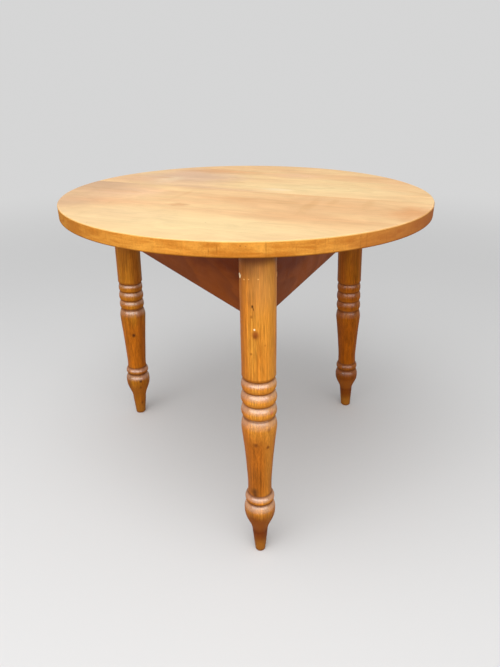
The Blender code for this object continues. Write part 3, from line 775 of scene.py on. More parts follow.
# Knots, marks and patches of painted shade on the front of each leg: how high and how far to the right it
# lies, how tall and wide it is, its tone and its share
LEG_MARKS = {
    "front": (
        (0.5, 0.022, 0.6, 0.024, "gold", 0.55),
        (0.48, -0.03, 0.6, 0.026, "brown", 0.85),
        # Painted shade: darkens the left side of the shade under the top
        (0.697, -0.02, 0.034, 0.026, (0.16, 0.055, 0.014), 0.7),
        (0.655, 0.008, 0.075, 0.05, (0.42, 0.195, 0.052), 0.5),
        (0.6697, -0.0255, 0.0022, 0.0024, "pale", 0.55),
        (0.6717, -0.0173, 0.0018, 0.0022, "pale", 0.45),
        (0.6729, 0.0001, 0.002, 0.0026, "pale", 0.5),
        (0.6205, -0.0113, 0.0055, 0.0032, "black", 1.0),
        (0.6155, -0.0093, 0.005, 0.0018, "black", 0.8),
        (0.5998, -0.0132, 0.005, 0.0038, "knot", 0.6),
        (0.5748, -0.0079, 0.003, 0.0024, "white", 1.0),
        (0.5639, -0.0062, 0.0135, 0.0115, (0.24, 0.06, 0.008), 1.0),
        (0.56, -0.0075, 0.006, 0.005, "knot", 0.7),
        (0.5238, -0.0146, 0.0042, 0.0034, "knot", 0.7),
        (0.5416, 0.0124, 0.0036, 0.0032, "brown", 0.6),
        (0.453, -0.001, 0.01, 0.0012, "knot", 0.8),
        (0.429, 0.0212, 0.006, 0.005, "brown", 0.9),
        (0.4242, 0.0132, 0.005, 0.0045, "brown", 0.8),
        (0.3885, 0.025, 0.009, 0.005, (0.42, 0.09, 0.01), 0.9),
        (0.3926, 0.0003, 0.0028, 0.003, "brown", 0.7),
        (0.3508, 0.0188, 0.01, 0.0055, "knot", 0.6),
        (0.3151, -0.0076, 0.0085, 0.0075, "knot", 1.0),
        (0.3065, 0.0172, 0.007, 0.0048, "knot", 1.0),
        (0.2694, -0.0115, 0.005, 0.004, "brown", 0.6),
        (0.185, -0.012, 0.017, 0.0135, (0.09, 0.03, 0.006), 1.0),
        (0.1765, -0.0095, 0.006, 0.0065, "black", 0.7),
    ),
    "right": (
        # Painted shade: a long dark band on the side that faces under the table, and the top's shadow on the
        # upper leg
        (0.4, -0.025, 0.5, 0.02, (0.22, 0.05, 0.006), 0.55),
        (0.62, 0.0, 0.19, 0.07, (0.13, 0.033, 0.004), 0.85),
        (0.135, 0.0, 0.05, 0.06, (0.14, 0.03, 0.003), 0.6),
    ),
    "left": (
        # Painted shade: a long dark band on the side that faces under the table, and the top's shadow on the
        # upper leg
        (0.4, 0.025, 0.5, 0.016, (0.26, 0.06, 0.006), 0.5),
        (0.62, 0.0, 0.19, 0.07, (0.17, 0.046, 0.005), 0.85),
        (0.2963, 0.005, 0.01, 0.008, "black", 0.95),
        (0.1328, 0.0146, 0.008, 0.006, "black", 0.9),
        (0.109, 0.0125, 0.008, 0.006, "black", 0.8),
        (0.0416, 0.0106, 0.01, 0.007, "black", 1.0),
    ),
}


def reach_point(reach, azimuth, height):
    """A point at a reach from the middle, at an azimuth in degrees from -Y towards +X."""
    turn = math.radians(azimuth)
    return Vector((reach * math.sin(turn), -reach * math.cos(turn), height))


def leg_axis(name):
    """A leg's foot, its axis, the ways across it (rightwards and away from the front) and its length."""
    head, tip = LEG_PLACES[name]
    foot = reach_point(*tip, 0)
    top = reach_point(*head, BOARD_LOW.z)
    axis = (top - foot).normalized()
    right = (Vector((1, 0, 0)) - axis * axis.x).normalized()
    return foot, axis, right, axis.cross(right), (top - foot).length


def bead(top, low, crown, count, sag, power):
    """A bead whose crown lies below its middle, from one groove to the next.

    Above the crown the distance left to the crown falls with a power of the
    height left, and below it the radius follows a quarter of an ellipse.
    """
    upper = np.linspace(0, 1, count + 1)[1:]
    turn = np.linspace(0, math.pi / 2, count + 1)[1:]
    share = np.concatenate([sag * upper, sag + (1 - sag) * np.sin(turn)])
    swell = np.concatenate([1 - (1 - upper) ** power, np.cos(turn)])
    base = top[0] + (low[0] - top[0]) * share
    return base + (crown - base) * swell, top[1] + (low[1] - top[1]) * share


def quarter_round(top, low, count):
    """A rounded edge: the radius follows a sine and the height a cosine."""
    turn = np.linspace(0, math.pi / 2, count + 1)[1:]
    return top[0] + (low[0] - top[0]) * np.sin(turn), low[1] + (top[1] - low[1]) * np.cos(turn)


def straight(top, low, count, power=1.0):
    """A taper: the radius falls with a power of the distance left."""
    share = np.linspace(0, 1, count + 1)[1:]
    return low[0] + (top[0] - low[0]) * (1 - share) ** power, top[1] + (low[1] - top[1]) * share


def cyma(top, low, count):
    """An S curve: the radius eases along half a cosine wave."""
    share = np.linspace(0, 1, count + 1)[1:]
    eased = (1 - np.cos(math.pi * share)) / 2
    return top[0] + (low[0] - top[0]) * eased, top[1] + (low[1] - top[1]) * share


def leg_profile(settings, name, length):
    """Radius, height and a groove mark from the leg's top down to its foot.

    Each step gives its curve, where that ends and how many rings it has. The
    groove mark is a bell curve of the distance to the nearest groove.
    """
    shaft = settings.shaft / 2
    groove = settings.groove / 2
    rings_top, bulb_top, bead_share = LEG_TURNING[name]
    beads, vase, neck, bulb, ankle, foot, ankle_up, taper = LEG_GIRTH[name]
    bulb_radius = (settings.bulb + bulb) / 2
    foot_radius = (settings.foot + foot) / 2
    edge = rings_top + SHAFT_EDGE_RISE
    pieces = [(np.array([shaft]), np.array([length]))]
    grooves = [rings_top]

    def grow(curve, *target):
        """Carries the profile on along a curve to a target, and gives the height reached."""
        end = (pieces[-1][0][-1], pieces[-1][1][-1])
        pieces.append(curve(end, *target))
        return pieces[-1][1][-1]

    grow(straight, (shaft, edge), 70)
    grow(straight, (shaft - SHAFT_EDGE_EASE[0], edge - SHAFT_EDGE_EASE[1]), 2)
    low = grow(cyma, (groove, rings_top), 6)
    for diameter, tall, sag, power in BEADS:
        low = grow(bead, (groove, low - tall * bead_share), (diameter + beads) / 2, 14, sag, power)
        grooves.append(low)
    grooves.append(low - VASE_GROOVE_DROP)
    grow(straight, ((settings.vase + vase) / 2, low - VASE_DROP), 18, 2.0)
    grow(straight, ((settings.neck + neck) / 2, NECK_HEIGHT), 60, taper)
    diameter, tall, sag, power = SMALL_BEAD
    grooves.append(grow(straight, ((SMALL_BEAD_TOP + neck) / 2, bulb_top + tall), 8))
    low = grow(bead, (SMALL_BEAD_LOW / 2, bulb_top), (diameter + bulb) / 2, 14, sag, power)
    grooves.extend(low + rise for rise in BULB_GROOVES)
    grow(straight, (bulb_radius + BULB_EASE, bulb_top - BULB_SHOULDER_DROP), 22, 2.0)
    grow(straight, (bulb_radius, bulb_top - BULB_DROP), 4)
    grow(cyma, ((ANKLE_DIAMETER + ankle) / 2, ANKLE_HEIGHT + ankle_up), 36)
    grow(straight, (foot_radius + BULB_EASE, FOOT_ARRIS[1]), 24)
    pieces.append(quarter_round((foot_radius, FOOT_ARRIS[1]), (foot_radius - FOOT_ARRIS[0], 0.0), 4))
    radius, height = (np.concatenate(part) for part in zip(*pieces))
    near = np.abs(height[:, None] - np.array(grooves)[None, :]).min(axis=1)
    scribed = np.exp(-(((height - edge) / SCRIBE_WIDTH) ** 2))
    return radius, height, np.maximum(np.exp(-((near / GROOVE_WIDTH) ** 2)), SCRIBE_DARKNESS * scribed)


def leg_mesh(name, settings):
    """A turned leg: its profile carried round its leaning axis, with both ends cut level.

    Above the rings a point's height along the axis is drawn out so that the
    last ring lies level under the top, and below the ankle so that the foot
    stands flat: height = (level - radius times the side's own rise) over the
    axis's rise. The radius has slow hand-turned waves and shallow tool lines.
    """
    foot, axis, right, away, length = leg_axis(name)
    radius, height, groove = (part[:, None] for part in leg_profile(settings, name, length))
    turn = np.linspace(0, 2 * math.pi, LEG_SIDES, endpoint=False)[None, :]
    radius = radius + sway(height, turn, LEG_WAVES) - LEG_WAVE_INSET
    rise = right.z * np.cos(turn) + away.z * np.sin(turn)
    top_level = (LEG_HIGH.z - radius * rise) / axis.z
    foot_level = -radius * rise / axis.z
    edge = LEG_TURNING[name][0] + LEVEL_ABOVE_BEADS
    up = np.clip((height - edge) / (length - edge), 0, 1)
    down = np.clip(1 - height / LEVEL_BELOW, 0, 1)
    along = height + up * (top_level - length) + down * foot_level
    rings = np.array(foot) + along[..., None] * np.array(axis)
    for way, part in ((right, np.cos(turn)), (away, np.sin(turn))):
        rings = rings + (radius * part)[..., None] * np.array(way)
    # upper and under: how far each ring faces up and down; the finish paints a highlight by the first and
    # shade by the second, and sets the coat by upper and the roughness by under
    slope = np.gradient(radius[:, 0], height[:, 0])[:, None]
    lift = np.clip(-slope, 0, None)
    fall = np.clip(slope, 0, None)
    values = {"groove": groove, "upper": lift / (lift + SLOPE_HALF), "under": fall / (fall + SLOPE_HALF)}
    values = {label: np.broadcast_to(value, radius.shape) for label, value in values.items()}
    poles = (foot + axis * (LEG_HIGH.z / axis.z), foot)
    return closed_mesh(name, rings, poles, values, LEG_SHARP)


def leg_spots(leg, gold):
    """A leg's knots and marks as soft spots on the side that faces the front."""
    tones = {"gold": gold, **LEG_TONES}
    spots = []
    for height, across, tall, wide, tone, share in LEG_MARKS[leg]:
        away = -math.sqrt(MARK_RADIUS**2 - across**2)
        size = (tall, wide, MARK_DEPTH)
        spots.append(((height, across, away), size, tones.get(tone, tone), share, MARK_RAGGED))
    return spots


def leg_finish(name, settings, leg, seed):
    """Varnished pine: fine straight grain, amber clouds, knots and marks, dark grooves and a red foot, with
    painted shade under the top, on the vase and on slopes that face down, and a painted highlight on slopes
    that face up.
    """
    light, pith, amber_share, red, vase, coat, painted_highlight = LEG_LOOKS[leg]
    foot, axis, right, away, _ = leg_axis(leg)
    wood = Finish(name)
    grain = wood.in_frame(Matrix.Translation(foot) @ Matrix((axis, right, away)).transposed().to_4x4())
    height = wood.part(grain)[0]
    moved = wood.shift("ADD", grain, (seed * 0.83, 0, 0))
    rings = wood.rings(moved, *pith, 0.004, 0.006, 0.01)
    fibres = wood.group("fibres", moved, {"Spread": 0.85})
    streaks, hairs = fibres["Streaks"], fibres["Hairs"]
    dents = wood.group("dents", moved, {"Scale": 1.6})
    # Colours scaled by the leg's share: on the back legs partly their own tone, partly painted shade from
    # standing under the top
    gold, amber = (tuple(np.multiply(tone, light).tolist()) for tone in (settings.gold, settings.amber))

    cloud = wood.noise(moved, (6.0, 34.0, 34.0), 4.0, 0.6, 0.3)
    wood.colour = wood.mix(wood.between(cloud, 0.3, 0.7, *amber_share), gold, amber)
    wood.lay((0.4, 0.1, 0.006), wood.late(rings, 0.05, 0.35))
    wood.shade((fibres["Bands"], 0.55), (streaks, 0.6), (hairs, 0.35))
    # Painted shade: the vase is laid in a deeper amber than the wood above and below it
    from_vase = wood.sum("ABSOLUTE", wood.sum("SUBTRACT", height, VASE_MIDDLE))
    wood.fade(wood.tint(tuple(vase * part for part in amber), streaks, 1.0), from_vase, 0.05, 0.11, 0.95, 0.0)
    wood.shade((wood.noise(moved, (22.0, 80.0, 80.0), 5.0, 0.65, 0.5), 0.45))
    ankle = wood.mix(wood.between(height, 0.05, 0.085), (0.13, 0.026, 0.002), (0.09, 0.0155, 0.0015))
    wood.fade(ankle, height, 0.1, 0.148, red, 0.0)
    wood.fade((0.28, 0.1, 0.01), height, 0.018, 0.052, 0.85, 0.0)
    wood.fade((0.05, 0.02, 0.008), height, 0.001, 0.009, 0.85, 0.0)
    # Painted shade with some darker patina: the leg darkens towards the underside of the top
    wood.fade((0.13, 0.042, 0.016), height, 0.645, 0.712, 0.0, 0.8)
    wood.spots(grain, leg_spots(leg, tuple(settings.gold)))
    wood.shade((streaks, 0.14), (hairs, 0.55))
    # Painted shadow: a deeper band right under the top
    wood.fade((0.075, 0.02, 0.006), height, 0.691, 0.71, 0.0, 0.8)
    wood.lay((0.08, 0.02, 0.005), wood.specks(moved, 55.0, 0.06, 0.16, 0.75))

    upper, under, groove = (wood.attribute(label) for label in ("upper", "under", "groove"))
    # Painted highlight: a pale tone on the slopes that face up, as strong as the leg's share
    wood.fade((0.56, 0.39, 0.27), upper, 0.35, 0.7, 0.0, painted_highlight)
    # Painted shade: a darker tone on the slopes that face down
    wood.fade((0.3, 0.085, 0.008), under, 0.1, 0.8, 0.0, 0.6)
    wood.lay((0.11, 0.028, 0.005), wood.times(groove, 0.78))
    gloss = wood.line(groove, 0.25, wood.line(dents["Rubbed"], 0.08, 0.34))
    clean = wood.line(groove, -0.9, 1.0)
    inputs = {
        "Roughness": wood.line(under, 0.5, gloss),
        "Specular IOR Level": 0.05,
        "Coat Weight": wood.times(wood.between(upper, 0.1, 0.6, 0.0, coat), clean),
        "Coat Roughness": 0.22,
        "Coat IOR": 2.5,
    }
    bumps = ((dents["Height"], 0.00012), (rings["Late"], 0.00004), (streaks, 0.00008), (hairs, 0.00003))
    return wood.done(inputs, *bumps)


class TABLE_OT_legs(bpy.types.Operator):
    """Turn the three legs"""

    bl_idname = "table.legs"
    bl_label = "Turned legs"

    def execute(self, context):
        settings = context.scene.table_legs
        for seed, leg in enumerate(LEG_PLACES, 1):
            finish = leg_finish(f"{leg}_leg_varnish", settings, leg, seed)
            new_piece(f"{leg}_leg", leg_mesh(leg, settings), finish)
        return {"FINISHED"}


# The frame

TENON_HAUNCH = 0.015
TENON_ARRIS = 0.0004
TENON_GAP = 0.002
SIDE_POINTS = 24
CORNER_POINTS = 5
APRON_RINGS = 60
SHOULDER_RINGS = 4
APRON_WAVES = ((9, 3, 0.3, 0.5), (27, 11, 1.1, 0.3), (64, 90, 2.0, 0.2))
APRON_WAVE_DEPTH = 0.00012
APRON_WAVE_POWER = 8
APRON_EDGE_WIDTH = 0.004
PEG_INSET = 0.0105
PEG_DROP = 0.047
PEG_DEPTH = 0.0006
PEG_SIDES = 32
PEG_RINGS = 11
PEG_PROUD = 0.0004
PEG_END = ((0.985, 0.00018), (0.94, 0.0003), (0.85, 0.00036), (0.6, PEG_PROUD), (0.3, PEG_PROUD))
BARE_PEG = ((0.82, 0.66, 0.42), (0.6, 0.38, 0.18))
VARNISHED_PEG = ((0.55, 0.24, 0.05), (0.34, 0.12, 0.02))


def meet_leg(points, way, leg, radius):
    """Where lines from points inside a leg leave a cylinder round its axis.

    With w from the axis to the point and d along the line, both seen square to
    the axis, the way out is t = (-w.d + sqrt((w.d)^2 - d.d (w.w - r^2))) / d.d.
    """
    foot, axis = (np.array(part) for part in leg_axis(leg)[:2])
    start = points - foot
    start = start - (start @ axis)[..., None] * axis
    run = way - (way @ axis) * axis
    across = start @ run
    inside = np.einsum("...i,...i->...", start, start) - radius * radius
    square = run @ run
    out = (-across + np.sqrt(across * across - square * inside)) / square
    return points + out[..., None] * way


def apron_frame(name):
    """An apron's start, the ways along it and inwards, and its length from leg axis to leg axis."""
    ends = []
    for leg in APRON_LEGS[name]:
        foot, axis = leg_axis(leg)[:2]
        at = foot + axis * ((APRON_LOW.z + APRON_HIGH.z) / 2 / axis.z)
        ends.append(Vector((at.x, at.y, 0)))
    along = (ends[1] - ends[0]).normalized()
    return ends[0], along, UP.cross(along), (ends[1] - ends[0]).length


def apron_place(name):
    """An apron's own frame: X runs along it, Y inwards and Z up."""
    start, along, inwards, _ = apron_frame(name)
    return Matrix.Translation(start) @ Matrix((along, inwards, UP)).transposed().to_4x4()


def rounded_box_outline(half_wide, low, high, radius):
    """The outline of a rectangle with rounded corners, with the same count of points for any size.

    Each corner is a quarter circle, and a straight side leads to the next one.
    """
    corners = np.array(((1, 1), (-1, 1), (-1, -1), (1, -1)))[:, None, :]
    middle = corners * (half_wide - radius, (high - low) / 2 - radius) + (0, (low + high) / 2)
    turn = math.pi / 2 * (np.arange(4)[:, None] + np.linspace(0, 1, CORNER_POINTS))
    arcs = middle + radius * np.stack([np.cos(turn), np.sin(turn)], axis=-1)
    ends = arcs[:, -1:]
    share = np.linspace(0, 1, SIDE_POINTS + 2)[1:-1, None]
    sides = ends + (np.roll(arcs[:, :1], -1, axis=0) - ends) * share
    return np.concatenate([arcs, sides], axis=1).reshape(-1, 2).T


def mitre_slope(name, end):
    """How far the mitre plane at one end of an apron moves along it for each metre across it."""
    _, along, inwards, _ = apron_frame(name)
    leg = APRON_LEGS[name][end]
    other = next(label for label, legs in APRON_LEGS.items() if label != name and leg in legs)
    other_along = apron_frame(other)[1]
    own_way = along if end == 0 else -along
    other_way = other_along if APRON_LEGS[other][0] == leg else -other_along
    halving = (own_way + other_way).normalized()
    return halving.dot(along) / halving.dot(inwards)


def apron_mesh(name, settings, shaft):
    """An apron board with its coped shoulders and mitred tenons, as rings carried along it.

    Each ring is the board's or the tenon's outline. Its place along the board
    comes from where it meets the leg, or from the mitre plane of the tenon.
    Slow waves sink the two faces, by a high power of the way out from the
    middle of the thickness, so that the edges stay straight.
    """
    start, along, inwards, length = (np.array(part) for part in apron_frame(name))
    low, high = APRON_LOW.z, APRON_HIGH.z
    board = rounded_box_outline(settings.thickness / 2, low, high, settings.arris)
    tenon = rounded_box_outline(
        settings.tenon / 2, low + TENON_HAUNCH, high + JOINT_GAP - TENON_HAUNCH, TENON_ARRIS
    )

    def world(x, outline):
        """Points at x along the apron, with the outline's own places inwards and up."""
        y, z = outline
        return start + x[..., None] * along + y[..., None] * inwards + z[..., None] * np.array(UP)

    def shoulder(outline, end):
        """Where the outline, carried along the apron, meets the leg's cylinder."""
        inside = world(np.full_like(outline[0], end * length), outline)
        return meet_leg(inside, along * (1 - 2 * end), APRON_LEGS[name][end], shaft / 2 + JOINT_GAP)

    def root(end):
        """The tenon's end on the mitre plane, a small gap short of the leg's axis."""
        return world(end * length + (1 - 2 * end) * TENON_GAP + mitre_slope(name, end) * tenon[0], tenon)

    outlines = [board + (tenon - board) * step for step in np.linspace(0, 1, SHOULDER_RINGS)]
    first = [shoulder(outline, 0) for outline in outlines[::-1]]
    second = [shoulder(outline, 1) for outline in outlines]
    share = np.linspace(0, 1, APRON_RINGS + 2)[1:-1, None, None]
    middle = first[-1] + (second[0] - first[-1]) * share
    sunk = APRON_WAVE_DEPTH * (1 + sway((middle - start) @ along, middle[..., 2], APRON_WAVES)) / 2
    out = np.clip(np.abs(board[0]) / (settings.thickness / 2), 0, 1)
    facing = np.sign(board[0]) * out**APRON_WAVE_POWER
    middle = middle - (sunk * facing)[..., None] * inwards
    rings = np.concatenate([[root(0)], first, middle, second, [root(1)]])
    return closed_mesh(name, rings, (rings[0].mean(axis=0), rings[-1].mean(axis=0)))


def apron_finish(name, settings, apron, seed):
    """Dark stained pine: red-brown with faint growth rings, blotches, painted shade towards the top under the
    rim, and a darker lower edge.
    """
    wood = Finish(name)
    grain = wood.in_frame(apron_place(apron))
    height = wood.part(grain)[2]
    moved = wood.shift("ADD", grain, (seed * 1.3, seed * 0.4, 0))
    turned = wood.add("Mapping", {"Vector": moved, "Rotation": (math.pi / 2, 0, 0)}).outputs[0]
    rings = wood.rings(turned, -0.62, 0.3, 0.005, 0.02, 0.03)
    fibres = wood.group("fibres", moved)
    dents = wood.group("dents", moved)
    cloud = wood.noise(moved, (6.0, 18.0, 18.0), 4.0, 0.6, 0.5)
    # Painted shade: the height term darkens the apron towards the top, under the rim; the cloud is the
    # stain's own change
    lighter = wood.sum("ADD", cloud, wood.between(height, APRON_LOW.z, APRON_HIGH.z, 0.3, -0.45))
    wood.colour = wood.mix(wood.between(lighter, 0.3, 0.7), settings.stain, (0.205, 0.046, 0.005))
    wood.shade((fibres["Bands"], 0.18), (fibres["Streaks"], 0.12))
    wood.lay((0.09, 0.02, 0.006), wood.times(rings["Late"], 0.35))
    wood.fade((0.05, 0.014, 0.006), height, APRON_LOW.z, APRON_LOW.z + APRON_EDGE_WIDTH, 0.45, 0.0)
    return wood.done(
        {"Roughness": wood.line(dents["Rubbed"], 0.12, 0.38), "Specular IOR Level": 0.03},
        (dents["Height"], 0.00012),
        (fibres["Streaks"], 0.00006),
        (fibres["Hairs"], 0.00003),
    )


class TABLE_OT_aprons(bpy.types.Operator):
    """Fit the three apron boards between the legs"""

    bl_idname = "table.aprons"
    bl_label = "Aprons"

    def execute(self, context):
        settings = context.scene.table_frame
        for seed, name in enumerate(APRON_LEGS):
            mesh = apron_mesh(name, settings, context.scene.table_legs.shaft)
            finish = apron_finish(f"{name}_apron_stain", settings, name, seed)
            new_piece(f"{name}_apron", mesh, finish)
        return {"FINISHED"}


def peg_mesh(name, end, settings, shaft):
    """A peg through a leg and into a tenon. Its outer end follows the leg a little proud, with a worn edge.

    Its rings are spokes about the peg's line, carried outwards to the leg's cylinder.
    """
    start, along, inwards, length = (np.array(part) for part in apron_frame(name))
    upright = np.array(UP)
    along_end = end * length + (1 - 2 * end) * PEG_INSET
    centre = start + along * along_end + upright * (BOARD_LOW.z - PEG_DROP) + inwards * PEG_DEPTH
    turn = np.linspace(0, 2 * math.pi, PEG_SIDES, endpoint=False)[:, None]
    spoke = settings.peg_diameter / 2 * (np.cos(turn) * along + np.sin(turn) * upright)

    def meet(points, proud):
        """Where lines outwards from the points leave the leg, or lie so far proud of it."""
        return meet_leg(points, -inwards, APRON_LEGS[name][end], shaft / 2 + proud)

    inner = centre + np.array([0.5, 1.0])[:, None, None] * spoke
    share = np.linspace(0, 1, PEG_RINGS + 1)[1:, None, None]
    body = inner[-1] + (meet(centre + spoke, 0) - inner[-1]) * share
    ends = [meet(centre + part * spoke, proud) for part, proud in PEG_END]
    pole = meet(centre[None, :], PEG_PROUD)[0]
    return closed_mesh(name, np.concatenate([inner, body, ends]), (centre, pole))


def peg_finish(name, light, dark, centre):
    """End grain of a peg: pores and blotches from a light to a dark tone."""
    wood = Finish(name)
    away = wood.shift("SUBTRACT", wood.point, centre)
    pores = wood.noise(away, 900.0, 4.0, 0.7)
    wood.colour = wood.mix(wood.between(wood.noise(away, 260.0, 3.0, 0.6), 0.35, 0.7), light, dark)
    wood.shade((pores, 0.25))
    return wood.done({"Roughness": wood.between(pores, 0.3, 0.7, 0.45, 0.7)}, (pores, 0.00008))


class TABLE_OT_pegs(bpy.types.Operator):
    """Drive the six pegs through the legs and tenons"""

    bl_idname = "table.pegs"
    bl_label = "Pegs"

    def execute(self, context):
        settings = context.scene.table_frame
        shaft = context.scene.table_legs.shaft
        for name, legs in APRON_LEGS.items():
            for end, leg in enumerate(legs):
                node = f"{name}_apron_{leg}_peg"
                low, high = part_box(node)
                tones = BARE_PEG if node == "left_apron_front_peg" else VARNISHED_PEG
                finish = peg_finish(f"{node}_end_grain", *tones, (low + high) / 2)
                new_piece(node, peg_mesh(name, end, settings, shaft), finish)
        return {"FINISHED"}


def block_finish(name, place, seed):
    """Bare sawn pine, greyed with age, with saw lines across it and drips of dried glue."""
    wood = Finish(name)
    moved = wood.shift("ADD", wood.in_frame(place), (seed * 2.1, seed, 0))
    fibres = wood.group("fibres", moved, {"Spread": 0.8})
    cloud = wood.noise(moved, 30.0, 4.0, 0.6)
    saw = wood.noise(moved, (700.0, 20.0, 20.0))
    glue = wood.between(wood.noise(moved, (40.0, 60.0, 25.0)), 0.62, 0.7)
    wood.colour = wood.mix(wood.between(cloud, 0.3, 0.7), (0.44, 0.27, 0.13), (0.3, 0.18, 0.09))
    wood.shade((fibres["Bands"], 0.2), (saw, 0.15))
    wood.lay((0.28, 0.12, 0.03), wood.times(glue, 0.7))
    inputs = {"Roughness": wood.between(glue, 0.0, 1.0, 0.75, 0.3)}
    return wood.done(inputs, (saw, 0.0002), (fibres["Streaks"], 0.0002))


def screw_finish(name, seed):
    """Dull steel with brown rust in blotches."""
    steel = Finish(name)
    vector = steel.shift("ADD", steel.point, (seed, 0, 0))
    rust = steel.between(steel.noise(vector, 420.0, 5.0, 0.7), 0.42, 0.62)
    wear = steel.noise(vector, 1400.0, 3.0)
    bright = steel.tint((0.36, 0.35, 0.33), wear, 0.2)
    steel.colour = steel.mix(rust, bright, steel.tint((0.16, 0.06, 0.022), wear, 0.4))
    inputs = {
        "Metallic": steel.between(rust, 0.0, 1.0, 1.0, 0.1),
        "Roughness": steel.between(rust, 0.0, 1.0, 0.42, 0.85),
    }
    return steel.done(inputs, (wear, 0.00003), (rust, 0.00004))


class TABLE_OT_fixings(bpy.types.Operator):
    """Finish the glue blocks and their wood screws"""

    bl_idname = "table.fixings"
    bl_label = "Glue blocks and screws"

    def execute(self, context):
        for seed, name in enumerate(APRON_LEGS, 1):
            for end in ("first", "second"):
                finishes = {
                    "glue_block": block_finish(f"{name}_{end}_block_pine", apron_place(name), seed),
                    "wood_screw": screw_finish(f"{name}_{end}_screw_steel", seed),
                }
                for part, finish in finishes.items():
                    materials = frame["nodes"][f"{name}_{end}_{part}"].data.materials
                    materials.clear()
                    materials.append(finish)
        return {"FINISHED"}


# The stage

FLOOR_HALF = 30.0
FLOOR_FADE = (1.3, 4.5)
SKY_WAY = (-0.12, -0.62, 0.77)
SKY_RISE = (0.25, 1.0)
LAMP_SIZE = (2.4, 2.4)
LAMP_PLACE = (-0.6, -1.2, 3.1)
LAMP_AIM = 0.5
SOFTBOX_SIZE = (10.0, 1.1)
SOFTBOX_PLACE = (-0.1, -3.2, 1.25)
SOFTBOX_AIM = 0.4
CAMERA_PLACE = (0.0076, -1.2897, 0.9915)
CAMERA_PITCH = math.radians(25.74)
CAMERA_ROLL = math.radians(-0.27)
CAMERA_LENS = 28.29
CAMERA_SENSOR = 36.0


class TABLE_OT_stage(bpy.types.Operator):
    """Set the floor, the soft light and the camera"""

    bl_idname = "table.stage"
    bl_label = "Stage"

    def execute(self, context):
        scene = context.scene
        settings = scene.table_stage
        scene.view_settings.view_transform = "Standard"
        add_floor(scene, settings)
        add_light(scene, settings)
        add_camera(scene)
        return {"FINISHED"}


def seen_rays(nodes):
    """1 for rays from the camera and for what shows in gloss and glass, 0 for rays that only carry light."""
    path = nodes.add("LightPath").outputs
    mirrored = nodes.sum("MAXIMUM", path["Is Glossy Ray"], path["Is Transmission Ray"])
    return nodes.sum("MAXIMUM", path["Is Camera Ray"], mirrored)


def add_floor(scene, settings):
    """A wide floor that fades with distance into the background."""
    mesh = bpy.data.meshes.new("floor")
    corners = [(x * FLOOR_HALF, y * FLOOR_HALF, 0) for x, y in ((-1, -1), (1, -1), (1, 1), (-1, 1))]
    mesh.from_pydata(corners, [], [(0, 1, 2, 3)])
    floor = bpy.data.objects.new("floor", mesh)
    scene.collection.objects.link(floor)
    pale = Finish("pale_floor")
    pale.set({"Base Color": settings.floor, "Roughness": 0.9, "Specular IOR Level": 0.1})
    glow = pale.add("Emission", {"Color": [settings.background] * 3, "Strength": 1.0})
    far = pale.between(pale.shift("LENGTH", pale.point), *FLOOR_FADE)
    seen = pale.times(far, seen_rays(pale))
    both = pale.add("MixShader", {0: seen, 1: pale.shader.outputs[0], 2: glow.outputs[0]})
    pale.put(pale.output.inputs[0], both.outputs[0])
    mesh.materials.append(pale.material)


def add_lamp(scene, name, size, power, place, aim):
    """A flat soft lamp that faces the table at a given height and that the camera doesn't see."""
    lamp = bpy.data.lights.new(name, "AREA")
    lamp.shape = "RECTANGLE"
    lamp.size, lamp.size_y = size
    lamp.energy = power
    holder = bpy.data.objects.new(name, lamp)
    holder.location = place
    holder.rotation_euler = (Vector(place) - Vector((0, 0, aim))).to_track_quat("Z", "Y").to_euler()
    holder.visible_camera = False
    scene.collection.objects.link(holder)


def add_light(scene, settings):
    """A soft overcast sky, brightest high in front, and two soft lamps, one overhead and one low in front.

    Light = haze, rising to the sky's strength as the direction nears the bright
    part: an eased function of the cosine of the angle between the two. The
    camera and reflections see the plain background in its place.
    """
    world = bpy.data.worlds.new("soft_sky")
    scene.world = world
    world.use_nodes = True
    nodes = Tree(world.node_tree)
    direction = nodes.add("TexCoord").outputs["Generated"]
    nearness = nodes.shift("DOT_PRODUCT", direction, Vector(SKY_WAY).normalized())
    light = nodes.between(nearness, *SKY_RISE, settings.haze, settings.sky)
    strength = nodes.add("Mix", {0: seen_rays(nodes), 2: light, 3: settings.background})
    back = nodes.add("Background", {"Color": (1, 1, 1), "Strength": strength.outputs[0]})
    nodes.add("OutputWorld", {0: back.outputs[0]})
    add_lamp(scene, "soft_lamp", LAMP_SIZE, settings.lamp, LAMP_PLACE, LAMP_AIM)
    add_lamp(scene, "softbox", SOFTBOX_SIZE, settings.softbox, SOFTBOX_PLACE, SOFTBOX_AIM)


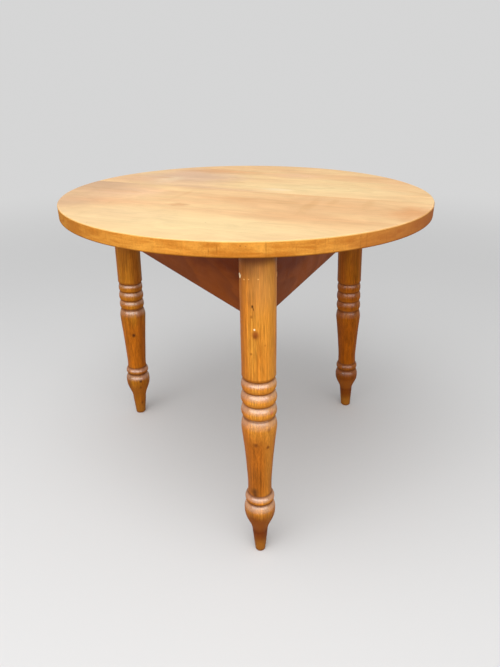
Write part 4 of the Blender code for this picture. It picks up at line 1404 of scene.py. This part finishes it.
def add_camera(scene):
    """The camera at the photograph's place, pitched down and a little rolled."""
    forward = Vector((0, math.cos(CAMERA_PITCH), -math.sin(CAMERA_PITCH)))
    level = Vector((1, 0, 0))
    upright = level.cross(forward)
    right = level * math.cos(CAMERA_ROLL) + upright * math.sin(CAMERA_ROLL)
    above = upright * math.cos(CAMERA_ROLL) - level * math.sin(CAMERA_ROLL)
    camera = bpy.data.cameras.new("camera")
    camera.lens = CAMERA_LENS
    camera.sensor_width = CAMERA_SENSOR
    holder = bpy.data.objects.new("camera", camera)
    turned = Matrix((right, above, -forward)).transposed().to_4x4()
    holder.matrix_world = Matrix.Translation(CAMERA_PLACE) @ turned
    scene.collection.objects.link(holder)
    scene.camera = holder


SETTINGS = {
    "table_top": TopSettings,
    "table_legs": LegSettings,
    "table_frame": FrameSettings,
    "table_stage": StageSettings,
}
OPERATORS = (TABLE_OT_stage, TABLE_OT_top, TABLE_OT_legs, TABLE_OT_aprons, TABLE_OT_pegs, TABLE_OT_fixings)


class TABLE_PT_panel(bpy.types.Panel):
    """The table's pieces and their settings"""

    bl_idname = "TABLE_PT_panel"
    bl_label = "Cricket Table"
    bl_space_type = "VIEW_3D"
    bl_region_type = "UI"
    bl_category = "Cricket Table"

    def draw(self, context):
        for group in SETTINGS:
            settings = getattr(context.scene, group)
            for name in settings.__annotations__:
                self.layout.prop(settings, name)
        for operator in OPERATORS:
            self.layout.operator(operator.bl_idname)


CLASSES = (*SETTINGS.values(), *OPERATORS, TABLE_PT_panel)


def register():
    for made in CLASSES:
        bpy.utils.register_class(made)
    for name, made in SETTINGS.items():
        setattr(bpy.types.Scene, name, bpy.props.PointerProperty(type=made))


def unregister():
    for name in SETTINGS:
        delattr(bpy.types.Scene, name)
    for made in reversed(CLASSES):
        bpy.utils.unregister_class(made)


def main():
    register()
    bpy.ops.table.stage()
    bpy.ops.table.top()
    bpy.ops.table.legs()
    bpy.ops.table.aprons()
    bpy.ops.table.pegs()
    bpy.ops.table.fixings()


if __name__ == "__main__":
    main()
